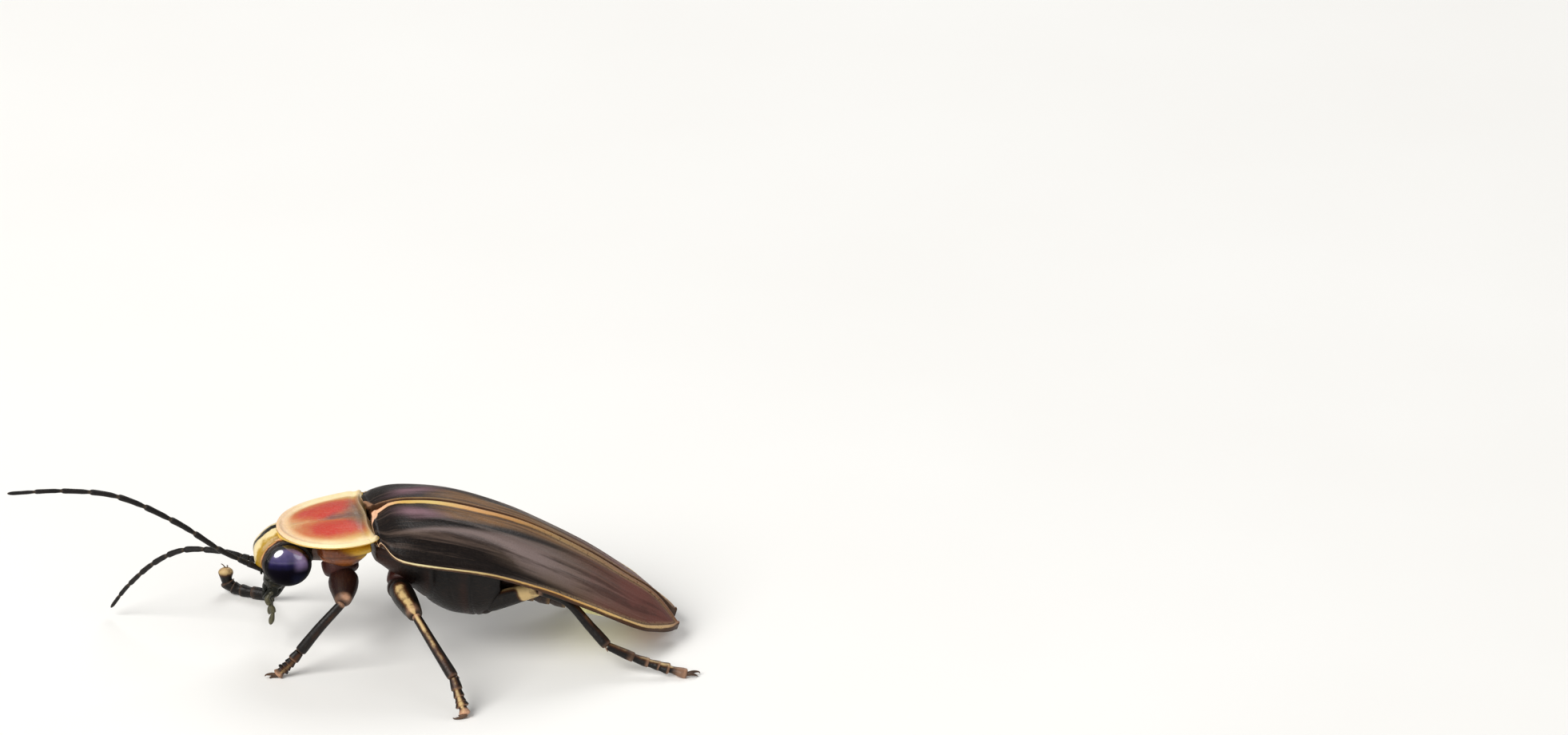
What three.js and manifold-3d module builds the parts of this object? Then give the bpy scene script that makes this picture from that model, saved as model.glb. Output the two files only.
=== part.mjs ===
// A firefly at life size, standing still on its six feet.
// Millimetres, +Z up, the floor at Z = 0.
// The head points to -X and the tail to +X, and the left side faces -Y.
// The body stands tilted: high at the shoulders, with the tail close to the floor.
import * as THREE from "three";
import { mergeVertices } from "three/addons/utils/BufferGeometryUtils.js";
import Module from "manifold-3d";

const wasm = await Module();
wasm.setup();

// Driving sizes
const gap = 0.15; // air between neighbouring pieces
const overlap = 0.08; // how deep one fused piece starts inside the one before it
const sides = 7; // facets round a limb
const floorSink = 0.05; // how much of a toe is planed off to make its flat
const midline = new THREE.Vector3(-1.76, -0.13, 0); // centre of the finished outline, moved to the origin

// Interpolates smoothly between a few stations along the body, each [x, value].
function along(stations) {
  const last = stations.length - 1;
  const slope = (i) => {
    const before = stations[Math.max(i - 1, 0)];
    const after = stations[Math.min(i + 1, last)];
    return (after[1] - before[1]) / (after[0] - before[0]);
  };
  return (x) => {
    let i = 0;
    while (i < last - 1 && x > stations[i + 1][0]) i += 1;
    const [x0, v0] = stations[i];
    const [x1, v1] = stations[i + 1];
    const span = x1 - x0;
    const t = Math.min(Math.max((x - x0) / span, 0), 1);
    const rise = t * t * (3 - 2 * t);
    const start = t * (1 - t) * (1 - t);
    const end = t * t * (t - 1);
    return v0 + (v1 - v0) * rise + span * (slope(i) * start + slope(i + 1) * end);
  };
}

const mix = THREE.MathUtils.lerp;
const smooth = THREE.MathUtils.smoothstep;

// The pronotum: a half-round shield over the head, domed along its middle
const shield = {
  frontX: -4.53,
  rearX: -1.12,
  halfWidth: 2.33,
  roundness: 2.05,
  thickness: 0.5,
  edgeThickness: 0.2,
  noseThickness: 0.6, // of the full thickness, at the front edge
  noseRun: 0.25, // of its length, over which it thickens
  rim: 0.05,
  rimFrom: 0.84, // of the half width
  rimTo: 0.95,
  rearRound: 0.1,
  noseShare: 0.82, // of its length is the half-round front, the rest runs straight
  dome: 2.2,
  turn: THREE.MathUtils.degToRad(5.5), // the front of the body is turned a little to the left side
  pivotX: -1.12,
  pivotY: -1.3,
  turnEndX: 2, // where the turn has died away in the wing cases and the thorax
  midZ: along([[-4.53, 5.05], [-3.9, 5.15], [-2.7, 5.27], [-1.95, 5.34], [-1.12, 5.42]]),
  edgeZ: along([[-4.53, 5.05], [-3.6, 5.08], [-2.7, 5.12], [-1.8, 5.21], [-1.12, 5.34]]),
};

// A point of the shield or the front breast, turned about an upright line at the shield's hind edge
function turned(point) {
  const x = point.x - shield.pivotX;
  const y = point.y - shield.pivotY;
  const cos = Math.cos(shield.turn);
  const sin = Math.sin(shield.turn);
  return new THREE.Vector3(shield.pivotX + cos * x - sin * y, shield.pivotY + sin * x + cos * y, point.z);
}

// A point behind it, moved along the body so that the same turn dies away down the back
function slanted(point) {
  const share = 1 - smooth(point.x, shield.pivotX, shield.turnEndX);
  const shift = Math.tan(shield.turn) * (point.y - shield.pivotY) * share;
  return new THREE.Vector3(point.x - shift, point.y, point.z);
}

function shieldHalfWidth(x) {
  const u = (x - shield.frontX) / (shield.rearX - shield.frontX);
  const nose = Math.min(u / shield.noseShare, 1);
  const round = Math.pow(1 - Math.pow(1 - nose, shield.roundness), 1 / shield.roundness);
  const past = Math.max((u - shield.noseShare) / (1 - shield.noseShare), 0);
  const rear = 1 - shield.rearRound * Math.pow(past, 3);
  return Math.max(shield.halfWidth * round * rear, 0.05);
}

function shieldTop(x, across) {
  const dome = 1 - Math.pow(Math.abs(across), shield.dome);
  const rim = shield.rim * smooth(Math.abs(across), shield.rimFrom, shield.rimTo);
  return mix(shield.edgeZ(x), shield.midZ(x), dome) + rim;
}

// The wing cases: two shells that meet along the back
const wingCase = {
  baseX: -0.96,
  tipX: 10.42,
  thickness: 0.5,
  edgeThickness: 0.2,
  tipThickness: 0.24,
  thinFromX: 6.5, // it thins toward the tip between these
  thinToX: 9.6,
  thinFrom: 0.7, // and toward the margin from this share of the half width
  bead: 0.05, // raised border along the seam and the margin
  seamBeadEnds: [0.03, 0.1], // shares of the width between which it falls away
  marginBeadEnds: [0.9, 0.97],
  beadTipEnds: [9.6, 10.4],
  backZ: along([
    [-0.96, 5.44], [-0.3, 5.78], [0.4, 5.86], [1.6, 5.76], [3, 5.4],
    [4.8, 4.76], [7, 3.54], [8.6, 2.42], [9.6, 1.68], [10.42, 0.68],
  ]),
  edgeZ: along([
    [-0.96, 5.05], [-0.3, 4.72], [1.1, 4.46], [3.1, 4.12], [5, 3.48],
    [7.2, 2.38], [8.8, 1.46], [9.6, 0.99], [10.42, 0.64],
  ]),
  halfWidth: along([
    [-0.96, 2.3], [-0.7, 2.8], [-0.3, 2.98], [0.2, 3.06], [1.1, 3.12], [3.1, 3.22], [4.9, 3.24],
    [7.2, 2.99], [8.85, 2.56], [9.6, 1.83], [10.15, 1.2], [10.42, 0.68],
  ]),
  innerEdge: along([[-0.96, 0], [8.9, 0], [9.6, 0.05], [10.15, 0.25], [10.42, 0.52]]),
  arch: along([[-0.96, 4], [2, 3.4], [5, 1.9], [7.5, 1.8], [10.42, 1.5]]),
};

// The scutellum: a small triangle between the bases of the wing cases
const scutellum = {
  frontX: -0.94,
  length: 0.62,
  halfWidth: 0.26,
  tipHalfWidth: 0.06,
  taper: 0.85,
  thickness: 0.5,
  proud: 0.03,
  fall: 0.08,
};

function scutellumHalfWidth(x) {
  const u = THREE.MathUtils.clamp((x - scutellum.frontX) / scutellum.length, 0, 1);
  return scutellum.halfWidth * Math.pow(1 - u, scutellum.taper);
}

// Inner edge of a wing case: the seam, and in front of it the slanting side of the scutellum
function wingCaseInnerY(x) {
  const tip = scutellum.frontX + scutellum.length;
  const notch = scutellumHalfWidth(x - gap) + (x < tip + gap ? gap : 0);
  return Math.max(gap / 2, notch * smooth(tip + 2 * gap - x, 0, gap)) + wingCase.innerEdge(x);
}

// Height of the wing cases' outer face over a point of the body
function backTop(x, y) {
  const across = Math.min(Math.abs(y) / wingCase.halfWidth(x), 1);
  const rise = wingCase.backZ(x) - wingCase.edgeZ(x);
  return wingCase.backZ(x) - rise * Math.pow(across, wingCase.arch(x));
}

function wingCaseThickness(x, across) {
  const thin = smooth(x, wingCase.thinFromX, wingCase.thinToX);
  const body = mix(wingCase.thickness, wingCase.tipThickness, thin);
  return mix(body, Math.min(wingCase.edgeThickness, body), smooth(across, wingCase.thinFrom, 1));
}

// The body under the wing cases, each by its stations along X
const thorax = {
  frontX: -0.94,
  rearX: 3.72,
  sideY: along([[-0.94, 1.3], [0.3, 1.75], [1.8, 2], [3.1, 1.98], [3.72, 1.85]]),
  bottomZ: along([
    [-0.94, 3.75], [0, 3.06], [0.66, 2.4], [1.26, 1.88],
    [1.9, 1.56], [2.7, 1.47], [3.3, 1.6], [3.72, 1.9],
  ]),
  roundness: 0.75,
};

const abdomen = {
  frontX: 3.72 + gap,
  lanternX: 6.1,
  secondLanternX: 7.55,
  tailX: 8.75,
  endX: 9.85,
  sideY: along([[3.87, 1.5], [5.3, 1.72], [7, 1.74], [8.3, 1.46], [9.2, 1.12], [9.85, 0.7]]),
  bottomZ: along([[3.87, 2.02], [5.3, 1.78], [7.2, 1.3], [8.75, 0.76], [9.85, 0.42]]),
  roundness: 0.72,
  ringCount: 4,
  ringStep: 0.07, // how far each ring starts inside the one before it
  ringForm: [[0, 1], [0.3, 0.15], [0.85, 0]], // share of the ring's length, share of that step
  endStep: 0.6,
};

const prothorax = {
  frontX: -2.9,
  rearX: -1.1,
  sideY: along([[-3.02, 1.12], [-2.2, 1.45], [-1.1, 1.5]]),
  bottomZ: along([[-3.02, 3.9], [-2.3, 3.64], [-1.7, 3.78], [-1.1, 4.4]]),
  roundness: 0.8,
};

// The head: a deep capsule hanging under the front of the shield, by its levels up Z
const head = {
  bottomZ: 2.42,
  topZ: 5.02,
  frontX: along([
    [2.42, -5.0], [2.66, -5.1], [3.12, -5.17], [3.4, -5.32], [3.82, -5.52],
    [4.29, -5.48], [4.7, -5.14], [4.9, -4.9], [5.02, -4.68],
  ]),
  rearX: along([[2.42, -4.62], [2.8, -4.2], [3.3, -3.6], [3.9, -3.2], [4.6, -3.2], [5.02, -3.7]]),
  halfWidth: along([
    [2.42, 0.36], [2.8, 0.55], [3.3, 0.82], [3.9, 1.02], [4.4, 0.98], [4.8, 0.72], [5.02, 0.36],
  ]),
  roundness: 0.85,
  socketDepth: 0.5,
  socketRise: 0.1,
  socketProud: 0.02,
};

const eye = { x: -4.26, y: 0.86, z: 3.78, radius: 0.84, depth: 0.5 };
const jaw = { length: 0.42, radius: 0.13, rootX: -4.9, rootY: 0.27, rootZ: 2.62, tipX: -5.06, tipY: 0.05 };

// Feelers: eleven joints, each widest at its far end
const feeler = {
  joints: 11,
  radii: along([[0, 0.26], [0.6, 0.24], [0.8, 0.2], [1, 0.11]]),
  flare: 1.1,
  left: [
    [-5.3, -0.36, 3.4], [-5.94, -0.46, 3.82], [-6.75, -0.66, 4.38], [-8.43, -0.99, 5.76],
    [-10.6, -1.26, 7.02], [-12.57, -1.5, 7.44], [-14.7, -1.89, 7.6],
  ],
  right: [
    [-5.3, 0.36, 3.4], [-6.52, 0.72, 3.66], [-8.0, 1.38, 3.52], [-9.1, 2.04, 2.76],
    [-10.15, 2.78, 1.46], [-10.78, 3.24, 0.4],
  ],
};

const palp = {
  joints: 4,
  radii: along([[0, 0.24], [0.6, 0.22], [1, 0.14]]),
  flare: 1.15,
  path: [[-4.86, 0.42, 2.6], [-5.06, 0.46, 2.2], [-4.84, 0.48, 1.72], [-4.92, 0.46, 1.16]],
};

// Limbs: the left ones by their joints, hip first
const limb = {
  hipRadius: 0.35,
  kneeRadius: 0.28,
  shinRadius: 0.25,
  ankleRadius: 0.27,
  footRadius: 0.24,
  toeRadius: 0.2,
  clawRadius: 0.13,
  clawSides: 5,
  clawTip: 0.05,
  coxaEnd: 0.9, // a hip's radius half way down, of its root's
  narrowing: 0.92, // of a joint's radius where it meets the next
  widest: 0.8, // of a foot joint's length
  thighMiddle: [0.3, 0.65], // shares of the thigh's length
  shinMiddle: 0.6,
  footJoints: 4,
  flare: 1.18,
  clawSpread: 0.16,
};

const toeZ = limb.toeRadius - floorSink;

const legs = {
  front_leg_left: {
    coxa: 0.68, thigh: 0.46, root: [-2.36, -0.62, 3.95], hip: [-2.2, -1.05, 3.3], knee: [-2.3, -2.5, 2.9],
    shin: [[-3.2, -2.62, 1.94]], ankle: [-3.98, -2.64, 0.98],
    foot: [[-4.4, -2.7, 0.54]], toe: [-4.8, -2.76, toeZ], claw: [-5.34, -2.78, toeZ * 0.7],
  },
  front_leg_right: {
    coxa: 0.66, thigh: 0.35, root: [-2.46, 0.62, 4.0], hip: [-2.4, 1.0, 3.5], knee: [-3.36, 3.0, 2.55],
    shin: [[-4.05, 3.55, 1.36]], ankle: [-4.62, 4.02, 0.32],
    foot: [[-5.1, 4.3, toeZ], [-5.9, 4.78, toeZ], [-6.26, 4.94, 0.46]], toe: [-6.34, 4.99, 1.0],
    claw: [-6.44, 5.02, 1.3],
  },
  mid_leg_left: {
    coxa: 0.5, thigh: 0.44, root: [0.1, -0.6, 3.3], hip: [-0.16, -1.35, 2.94], knee: [0.34, -3.6, 2.8],
    shin: [[0.98, -4.76, 2.0]], ankle: [1.62, -5.85, 1.2],
    foot: [[1.8, -6.36, 0.6]], toe: [1.99, -6.84, toeZ], claw: [1.5, -6.92, toeZ * 0.7],
  },
  mid_leg_right: {
    coxa: 0.5, thigh: 0.44, root: [0.1, 0.6, 3.3], hip: [-0.1, 1.35, 2.94], knee: [0.3, 3.6, 2.85],
    shin: [[0.95, 4.8, 2.05]], ankle: [1.5, 5.8, 1.2],
    foot: [[1.62, 6.28, 0.6]], toe: [1.72, 6.72, toeZ], claw: [1.3, 6.9, toeZ * 0.7],
  },
  hind_leg_left: {
    coxa: 0.44, thigh: 0.33, root: [2.95, -0.62, 2.3], hip: [2.98, -1.15, 1.94], knee: [5.0, -2.42, 3.08],
    shin: [[6.08, -2.62, 2.66], [6.96, -2.98, 1.72]], ankle: [7.56, -3.36, 1.1],
    foot: [[8.72, -3.6, 0.62], [9.57, -3.8, 0.4]], toe: [10.5, -4.02, toeZ], claw: [11.1, -3.96, toeZ * 1.3],
  },
  hind_leg_right: {
    coxa: 0.44, thigh: 0.33, root: [2.95, 0.62, 2.3], hip: [2.98, 1.15, 1.94], knee: [5.05, 2.4, 2.95],
    shin: [[5.95, 2.66, 2.6], [6.65, 3.0, 1.74]], ankle: [7.05, 3.3, 1.1],
    foot: [[7.7, 3.6, 0.62], [8.25, 3.82, 0.4]], toe: [8.85, 4.05, toeZ], claw: [9.4, 4.1, toeZ * 1.1],
  },
};

// Colours
const colours = {
  shell: { color: 0x2a201f, roughness: 0.42, metalness: 0 },
  shield: { color: 0xe0b460, roughness: 0.45, metalness: 0 },
  orange: { color: 0xc9622c, roughness: 0.5, metalness: 0 },
  chitin: { color: 0x1d1614, roughness: 0.35, metalness: 0 },
  face: { color: 0xb98a45, roughness: 0.45, metalness: 0 },
  eye: { color: 0x1a1430, roughness: 0.12, metalness: 0 },
  belly: { color: 0x2b1c17, roughness: 0.5, metalness: 0 },
  lantern: { color: 0xd9cf6a, roughness: 0.55, metalness: 0 },
  tail: { color: 0xd08a35, roughness: 0.5, metalness: 0 },
};

const materials = Object.fromEntries(
  Object.entries(colours).map(([name, look]) => [name, new THREE.MeshStandardMaterial({ name, ...look })]),
);

// A closed mesh from its points and triangles, turned so that its faces point out
function closedMesh(points, triangles) {
  let volume = 0;
  for (const [a, b, c] of triangles) {
    volume += points[a].dot(points[b].clone().cross(points[c]));
  }
  const order = volume < 0 ? triangles.map(([a, b, c]) => [a, c, b]) : triangles;
  const geometry = new THREE.BufferGeometry().setFromPoints(points);
  geometry.setIndex(order.flat());
  return geometry;
}

// Rings of equal count joined along their order, with a fan over each end ring
function loft(rings) {
  const count = rings[0].length;
  const points = rings.flat();
  const triangles = [];
  for (let i = 0; i < rings.length - 1; i += 1) {
    for (let j = 0; j < count; j += 1) {
      const a = i * count + j;
      const b = i * count + ((j + 1) % count);
      triangles.push([a, b, b + count], [a, b + count, a + count]);
    }
  }
  for (const [row, flip] of [[0, true], [rings.length - 1, false]]) {
    const middle = rings[row].reduce((sum, p) => sum.add(p), new THREE.Vector3()).divideScalar(count);
    points.push(middle);
    for (let j = 0; j < count; j += 1) {
      const a = row * count + j;
      const b = row * count + ((j + 1) % count);
      triangles.push(flip ? [points.length - 1, b, a] : [points.length - 1, a, b]);
    }
  }
  return closedMesh(points, triangles);
}

// A curved plate from its upper and lower faces, both split into triangles alike
function plate(upper, lower) {
  const rows = upper.length;
  const columns = upper[0].length;
  const points = [...upper.flat(), ...lower.flat()];
  const under = rows * columns;
  const triangles = [];
  const quad = (a, b, c, d) => triangles.push([a, b, c], [a, c, d]);
  for (let i = 0; i < rows - 1; i += 1) {
    for (let j = 0; j < columns - 1; j += 1) {
      const a = i * columns + j;
      const b = a + columns;
      triangles.push([a, a + 1, b + 1], [a, b + 1, b]);
      triangles.push([under + a, under + b + 1, under + a + 1], [under + a, under + b, under + b + 1]);
    }
  }
  for (let i = 0; i < rows - 1; i += 1) {
    const a = i * columns;
    const z = a + columns - 1;
    quad(a, a + columns, under + a + columns, under + a);
    quad(z + columns, z, under + z, under + z + columns);
  }
  for (let j = 0; j < columns - 1; j += 1) {
    const a = (rows - 1) * columns + j;
    quad(j + 1, j, under + j, under + j + 1);
    quad(a, a + 1, under + a + 1, under + a);
  }
  return closedMesh(points, triangles);
}

function toSolid(geometry) {
  const bare = geometry.clone();
  bare.deleteAttribute("normal");
  bare.deleteAttribute("uv");
  const merged = mergeVertices(bare, 1e-5);
  return new wasm.Manifold(new wasm.Mesh({
    numProp: 3,
    vertProperties: new Float32Array(merged.attributes.position.array),
    triVerts: new Uint32Array(merged.index.array),
  }));
}

// Joins pieces, takes others away, and keeps the largest closed surface
function fuse(pieces, cutters = []) {
  let solid = pieces.map(toSolid).reduce((whole, piece) => whole.add(piece));
  for (const cutter of cutters) {
    solid = solid.subtract(toSolid(cutter));
  }
  const largest = solid.decompose().reduce((best, part) => (part.volume() > best.volume() ? part : best));
  const mesh = largest.getMesh();
  const geometry = new THREE.BufferGeometry();
  const positions = new Float32Array(mesh.numVert * 3);
  for (let i = 0; i < mesh.numVert; i += 1) {
    positions.set(mesh.vertProperties.subarray(i * mesh.numProp, i * mesh.numProp + 3), i * 3);
  }
  geometry.setAttribute("position", new THREE.BufferAttribute(positions, 3));
  geometry.setIndex([...mesh.triVerts]);
  return geometry;
}

const vector = (place) => new THREE.Vector3(...place);

// Two directions square to a limb's own direction
function squareTo(direction) {
  const aside = Math.abs(direction.z) > 0.9 ? new THREE.Vector3(1, 0, 0) : new THREE.Vector3(0, 0, 1);
  const right = aside.clone().cross(direction).normalize();
  return [right, direction.clone().cross(right).normalize()];
}

// A straight round piece whose radius follows a list of [share of its length, radius]
function spindle(from, to, radii, facets = sides) {
  const direction = to.clone().sub(from);
  const [right, up] = squareTo(direction.clone().normalize());
  const rings = radii.map(([share, radius]) => {
    const centre = from.clone().addScaledVector(direction, share);
    return Array.from({ length: facets }, (_, j) => {
      const angle = ((j + 0.5) / facets) * 2 * Math.PI;
      return centre.clone()
        .addScaledVector(right, radius * Math.cos(angle))
        .addScaledVector(up, radius * Math.sin(angle));
    });
  });
  return loft(rings);
}

const ball = (place, radius) => new THREE.IcosahedronGeometry(radius, 1).translate(place.x, place.y, place.z);

// Joints strung along a curve, each flaring to its far end
function beads(path, count, radiusAt, flare) {
  const curve = new THREE.CatmullRomCurve3(path);
  return Array.from({ length: count }, (_, i) => {
    const start = curve.getPointAt(i / count);
    const end = curve.getPointAt((i + 1) / count);
    const radius = radiusAt(i / Math.max(count - 1, 1));
    const back = end.clone().sub(start).normalize().multiplyScalar(i ? overlap : 0);
    const form = [[0, radius * limb.narrowing], [limb.widest, radius * flare], [1, radius * limb.narrowing]];
    return spindle(start.sub(back), end, form);
  });
}

function legPieces(joint) {
  const [root, hip, knee, ankle, toe, claw] = ["root", "hip", "knee", "ankle", "toe", "claw"]
    .map((name) => vector(joint[name]));
  const hipEnd = limb.hipRadius * limb.narrowing;
  const kneeEnd = limb.kneeRadius * limb.narrowing;
  const shinEnd = limb.shinRadius * limb.narrowing;
  const [swell, taper] = limb.thighMiddle;
  const pieces = [
    spindle(root, hip, [[0, joint.coxa], [0.5, joint.coxa * limb.coxaEnd], [1, hipEnd]]),
    ball(hip, limb.hipRadius),
    spindle(hip, knee, [[0, hipEnd], [swell, joint.thigh], [taper, joint.thigh], [1, kneeEnd]]),
    ball(knee, limb.kneeRadius),
  ];
  const shin = [knee, ...joint.shin.map(vector), ankle];
  for (let i = 0; i < shin.length - 1; i += 1) {
    const end = i === shin.length - 2 ? limb.ankleRadius : limb.shinRadius;
    pieces.push(spindle(shin[i], shin[i + 1], [[0, shinEnd], [limb.shinMiddle, limb.shinRadius], [1, end]]));
    if (i) pieces.push(ball(shin[i], limb.shinRadius));
  }
  const foot = [ankle, ...joint.foot.map(vector), toe];
  const footRadius = (share) => mix(limb.footRadius, limb.toeRadius, share);
  pieces.push(...beads(foot, limb.footJoints, footRadius, limb.flare));
  pieces.push(ball(toe, limb.toeRadius));
  const [aside] = squareTo(claw.clone().sub(toe).normalize());
  for (const side of [-1, 1]) {
    const tip = claw.clone().addScaledVector(aside, side * limb.clawSpread);
    pieces.push(spindle(toe, tip, [[0, limb.clawRadius], [1, limb.clawTip]], limb.clawSides));
  }
  return pieces;
}

// Ring across the body: a rounded box that is planed off under the wing cases
function bodyRing(x, form, topZ, extra = 0, facets = 20) {
  const half = form.sideY(x) + extra;
  const bottom = form.bottomZ(x) - extra;
  const height = (topZ(x, 0) + extra - bottom) / 2;
  return Array.from({ length: facets }, (_, j) => {
    const angle = ((j + 0.5) / facets) * 2 * Math.PI;
    const bend = (value) => Math.sign(value) * Math.pow(Math.abs(value), form.roundness);
    const y = half * bend(Math.cos(angle));
    const z = bottom + height * (1 + bend(Math.sin(angle)));
    return new THREE.Vector3(x, y, Math.min(z, topZ(x, y) + extra));
  });
}

// A length of the body; place moves each point to where the turned front of the body has it
function bodyPiece(form, topZ, steps, extra, place) {
  const rings = [];
  for (let i = 0; i <= steps; i += 1) {
    const x = mix(form.frontX - extra, form.rearX + extra, i / steps);
    rings.push(bodyRing(x, form, topZ, extra).map(place));
  }
  return loft(rings);
}

// How much longer an upright cut through a wing case is than its thickness
function lean(x) {
  const step = 0.1;
  return Math.hypot(1, (wingCase.backZ(x + step) - wingCase.backZ(x - step)) / (2 * step));
}

// Highest the body may reach under the wing cases, and under the shield
const underWings = (x, y) => {
  const across = Math.abs(y) / wingCase.halfWidth(x);
  return backTop(x, y) - (wingCaseThickness(x, across) + gap) * lean(x);
};
const underShield = (x, y) => {
  const across = Math.min(Math.abs(y) / shieldHalfWidth(x), 1);
  return shieldTop(x, across) - shield.rim - shield.thickness - gap;
};

function makeShield(extra = 0) {
  const rows = 14;
  const columns = 14;
  const upper = [];
  const lower = [];
  for (let i = 0; i <= rows; i += 1) {
    const u = 1 - Math.cos((i / rows) * Math.PI * 0.5);
    const x = mix(shield.frontX, shield.rearX, u);
    const half = shieldHalfWidth(x) + extra;
    const shift = mix(-extra, extra, u);
    upper.push([]);
    lower.push([]);
    for (let j = 0; j <= columns; j += 1) {
      const across = Math.sin(((j / columns) * 2 - 1) * Math.PI * 0.5);
      const top = shieldTop(x, across);
      const thick = mix(shield.thickness, shield.edgeThickness, Math.pow(Math.abs(across), 2))
        * mix(shield.noseThickness, 1, smooth(u, 0, shield.noseRun));
      upper[i].push(turned(new THREE.Vector3(x + shift, half * across, top + extra)));
      lower[i].push(turned(new THREE.Vector3(x + shift, half * across, top - thick - extra)));
    }
  }
  return plate(upper, lower);
}

// One wing case; side is -1 on the left
function makeWingCase(side, extra = 0) {
  const rows = 24;
  const columns = 11;
  const upper = [];
  const lower = [];
  for (let i = 0; i <= rows; i += 1) {
    const u = 0.5 - 0.5 * Math.cos((i / rows) * Math.PI);
    const x = mix(wingCase.baseX, wingCase.tipX, u);
    const inner = wingCaseInnerY(x) - extra;
    const outer = wingCase.halfWidth(x) + extra;
    const shift = mix(-extra, extra, u);
    const beadFade = 1 - smooth(x, ...wingCase.beadTipEnds);
    upper.push([]);
    lower.push([]);
    for (let j = 0; j <= columns; j += 1) {
      const v = Math.sin((j / columns) * Math.PI * 0.5);
      const y = mix(inner, outer, v);
      const beads = 1 - smooth(v, ...wingCase.seamBeadEnds) + smooth(v, ...wingCase.marginBeadEnds);
      const top = backTop(x, y) + wingCase.bead * beads * beadFade;
      const across = y / wingCase.halfWidth(x);
      const thick = wingCaseThickness(x, across);
      upper[i].push(slanted(new THREE.Vector3(x + shift, side * y, top + extra * lean(x))));
      lower[i].push(slanted(new THREE.Vector3(x + shift, side * y, top - (thick + extra) * lean(x))));
    }
  }
  return plate(upper, lower);
}

function makeScutellum() {
  const rows = 5;
  const rings = [];
  for (let i = 0; i <= rows; i += 1) {
    const x = mix(scutellum.frontX, scutellum.frontX + scutellum.length, i / rows);
    const half = Math.max(scutellumHalfWidth(x), scutellum.tipHalfWidth);
    const top = wingCase.backZ(x) + scutellum.proud;
    const base = top - scutellum.thickness;
    rings.push([
      new THREE.Vector3(x, -half, top - scutellum.fall), new THREE.Vector3(x, 0, top),
      new THREE.Vector3(x, half, top - scutellum.fall),
      new THREE.Vector3(x, half, base), new THREE.Vector3(x, -half, base),
    ].map(slanted));
  }
  return loft(rings);
}

// Abdomen pieces step in at each ring of the belly, so the rings show from the side
function makeAbdomen(fromX, toX, rings, extra = 0) {
  const sections = [];
  for (let i = 0; i < rings; i += 1) {
    const start = mix(fromX, toX, i / rings);
    const end = mix(fromX, toX, (i + 1) / rings);
    for (const [share, step] of abdomen.ringForm) {
      sections.push([mix(start, end, share), step * abdomen.ringStep]);
    }
  }
  sections.push([toX, abdomen.endStep * abdomen.ringStep]);
  return loft(sections.map(([x, inset]) => bodyRing(x, abdomen, underWings, extra - inset)));
}

function headRing(z, facets = 16) {
  const front = head.frontX(z);
  const rear = head.rearX(z);
  const half = head.halfWidth(z);
  return Array.from({ length: facets }, (_, j) => {
    const angle = ((j + 0.5) / facets) * 2 * Math.PI;
    const bend = (value) => Math.sign(value) * Math.pow(Math.abs(value), head.roundness);
    return new THREE.Vector3(
      mix(front, rear, 0.5 + 0.5 * bend(Math.cos(angle))),
      half * bend(Math.sin(angle)),
      z,
    );
  });
}

function makeEye(side, extra = 0) {
  const geometry = new THREE.SphereGeometry(1, 18, 12);
  geometry.scale(eye.radius + extra, eye.depth + extra, eye.radius + extra);
  geometry.translate(eye.x, side * eye.y, eye.z);
  return geometry;
}

function makeHead() {
  const levels = 11;
  const rings = [];
  for (let i = 0; i <= levels; i += 1) {
    rings.push(headRing(mix(head.bottomZ, head.topZ, 0.5 - 0.5 * Math.cos((i / levels) * Math.PI))));
  }
  const pieces = [loft(rings)];
  for (const side of [-1, 1]) {
    const socket = vector(feeler.left[0]);
    socket.y = side * Math.abs(socket.y);
    const inward = socket.clone().add(new THREE.Vector3(head.socketDepth, 0, head.socketRise));
    const outward = socket.clone().add(new THREE.Vector3(head.socketProud, 0, 0));
    pieces.push(spindle(inward, outward, [[0, feeler.radii(0)], [1, feeler.radii(0) * limb.narrowing]]));
    const root = new THREE.Vector3(jaw.rootX, side * jaw.rootY, jaw.rootZ);
    const tip = new THREE.Vector3(jaw.tipX, side * jaw.tipY, jaw.rootZ - jaw.length);
    pieces.push(spindle(root, tip, [[0, jaw.radius], [0.6, jaw.radius * 0.9], [1, jaw.radius * 0.35]]));
  }
  return fuse(pieces, [makeEye(-1, gap), makeEye(1, gap), makeShield(gap)]);
}

// Feelers and palps begin a gap away from the head
function strand(path, form) {
  const curve = new THREE.CatmullRomCurve3(path.map(vector));
  const direction = curve.getTangentAt(0);
  const points = [curve.getPointAt(0).addScaledVector(direction, gap), ...path.slice(1).map(vector)];
  return beads(points, form.joints, form.radii, form.flare);
}

const floorBlock = new THREE.BoxGeometry(60, 60, 2).translate(0, 0, -1);
const thoraxBody = (extra = 0) => bodyPiece(thorax, underWings, 16, extra, slanted);
const prothoraxBody = (extra = 0) => bodyPiece(prothorax, underShield, 6, extra, turned);

const firefly = new THREE.Group();
firefly.name = "firefly";
firefly.position.copy(midline).negate();

function add(name, geometry, material) {
  const mesh = new THREE.Mesh(geometry, materials[material]);
  mesh.name = name;
  firefly.add(mesh);
}

add("head", makeHead(), "face");
add("pronotum", fuse([makeShield()]), "shield");
add("prothorax", fuse([prothoraxBody()]), "orange");
add("thorax", fuse([thoraxBody()]), "chitin");
add("scutellum", fuse([makeScutellum()]), "orange");
add("abdomen", fuse([makeAbdomen(abdomen.frontX, abdomen.lanternX, abdomen.ringCount)]), "belly");
add("lantern_front", fuse([makeAbdomen(abdomen.lanternX + gap, abdomen.secondLanternX, 1)]), "lantern");
add("lantern_rear", fuse([makeAbdomen(abdomen.secondLanternX + gap, abdomen.tailX, 1)]), "lantern");
add("tail_tip", fuse([makeAbdomen(abdomen.tailX + gap, abdomen.endX, 1)]), "tail");

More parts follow.
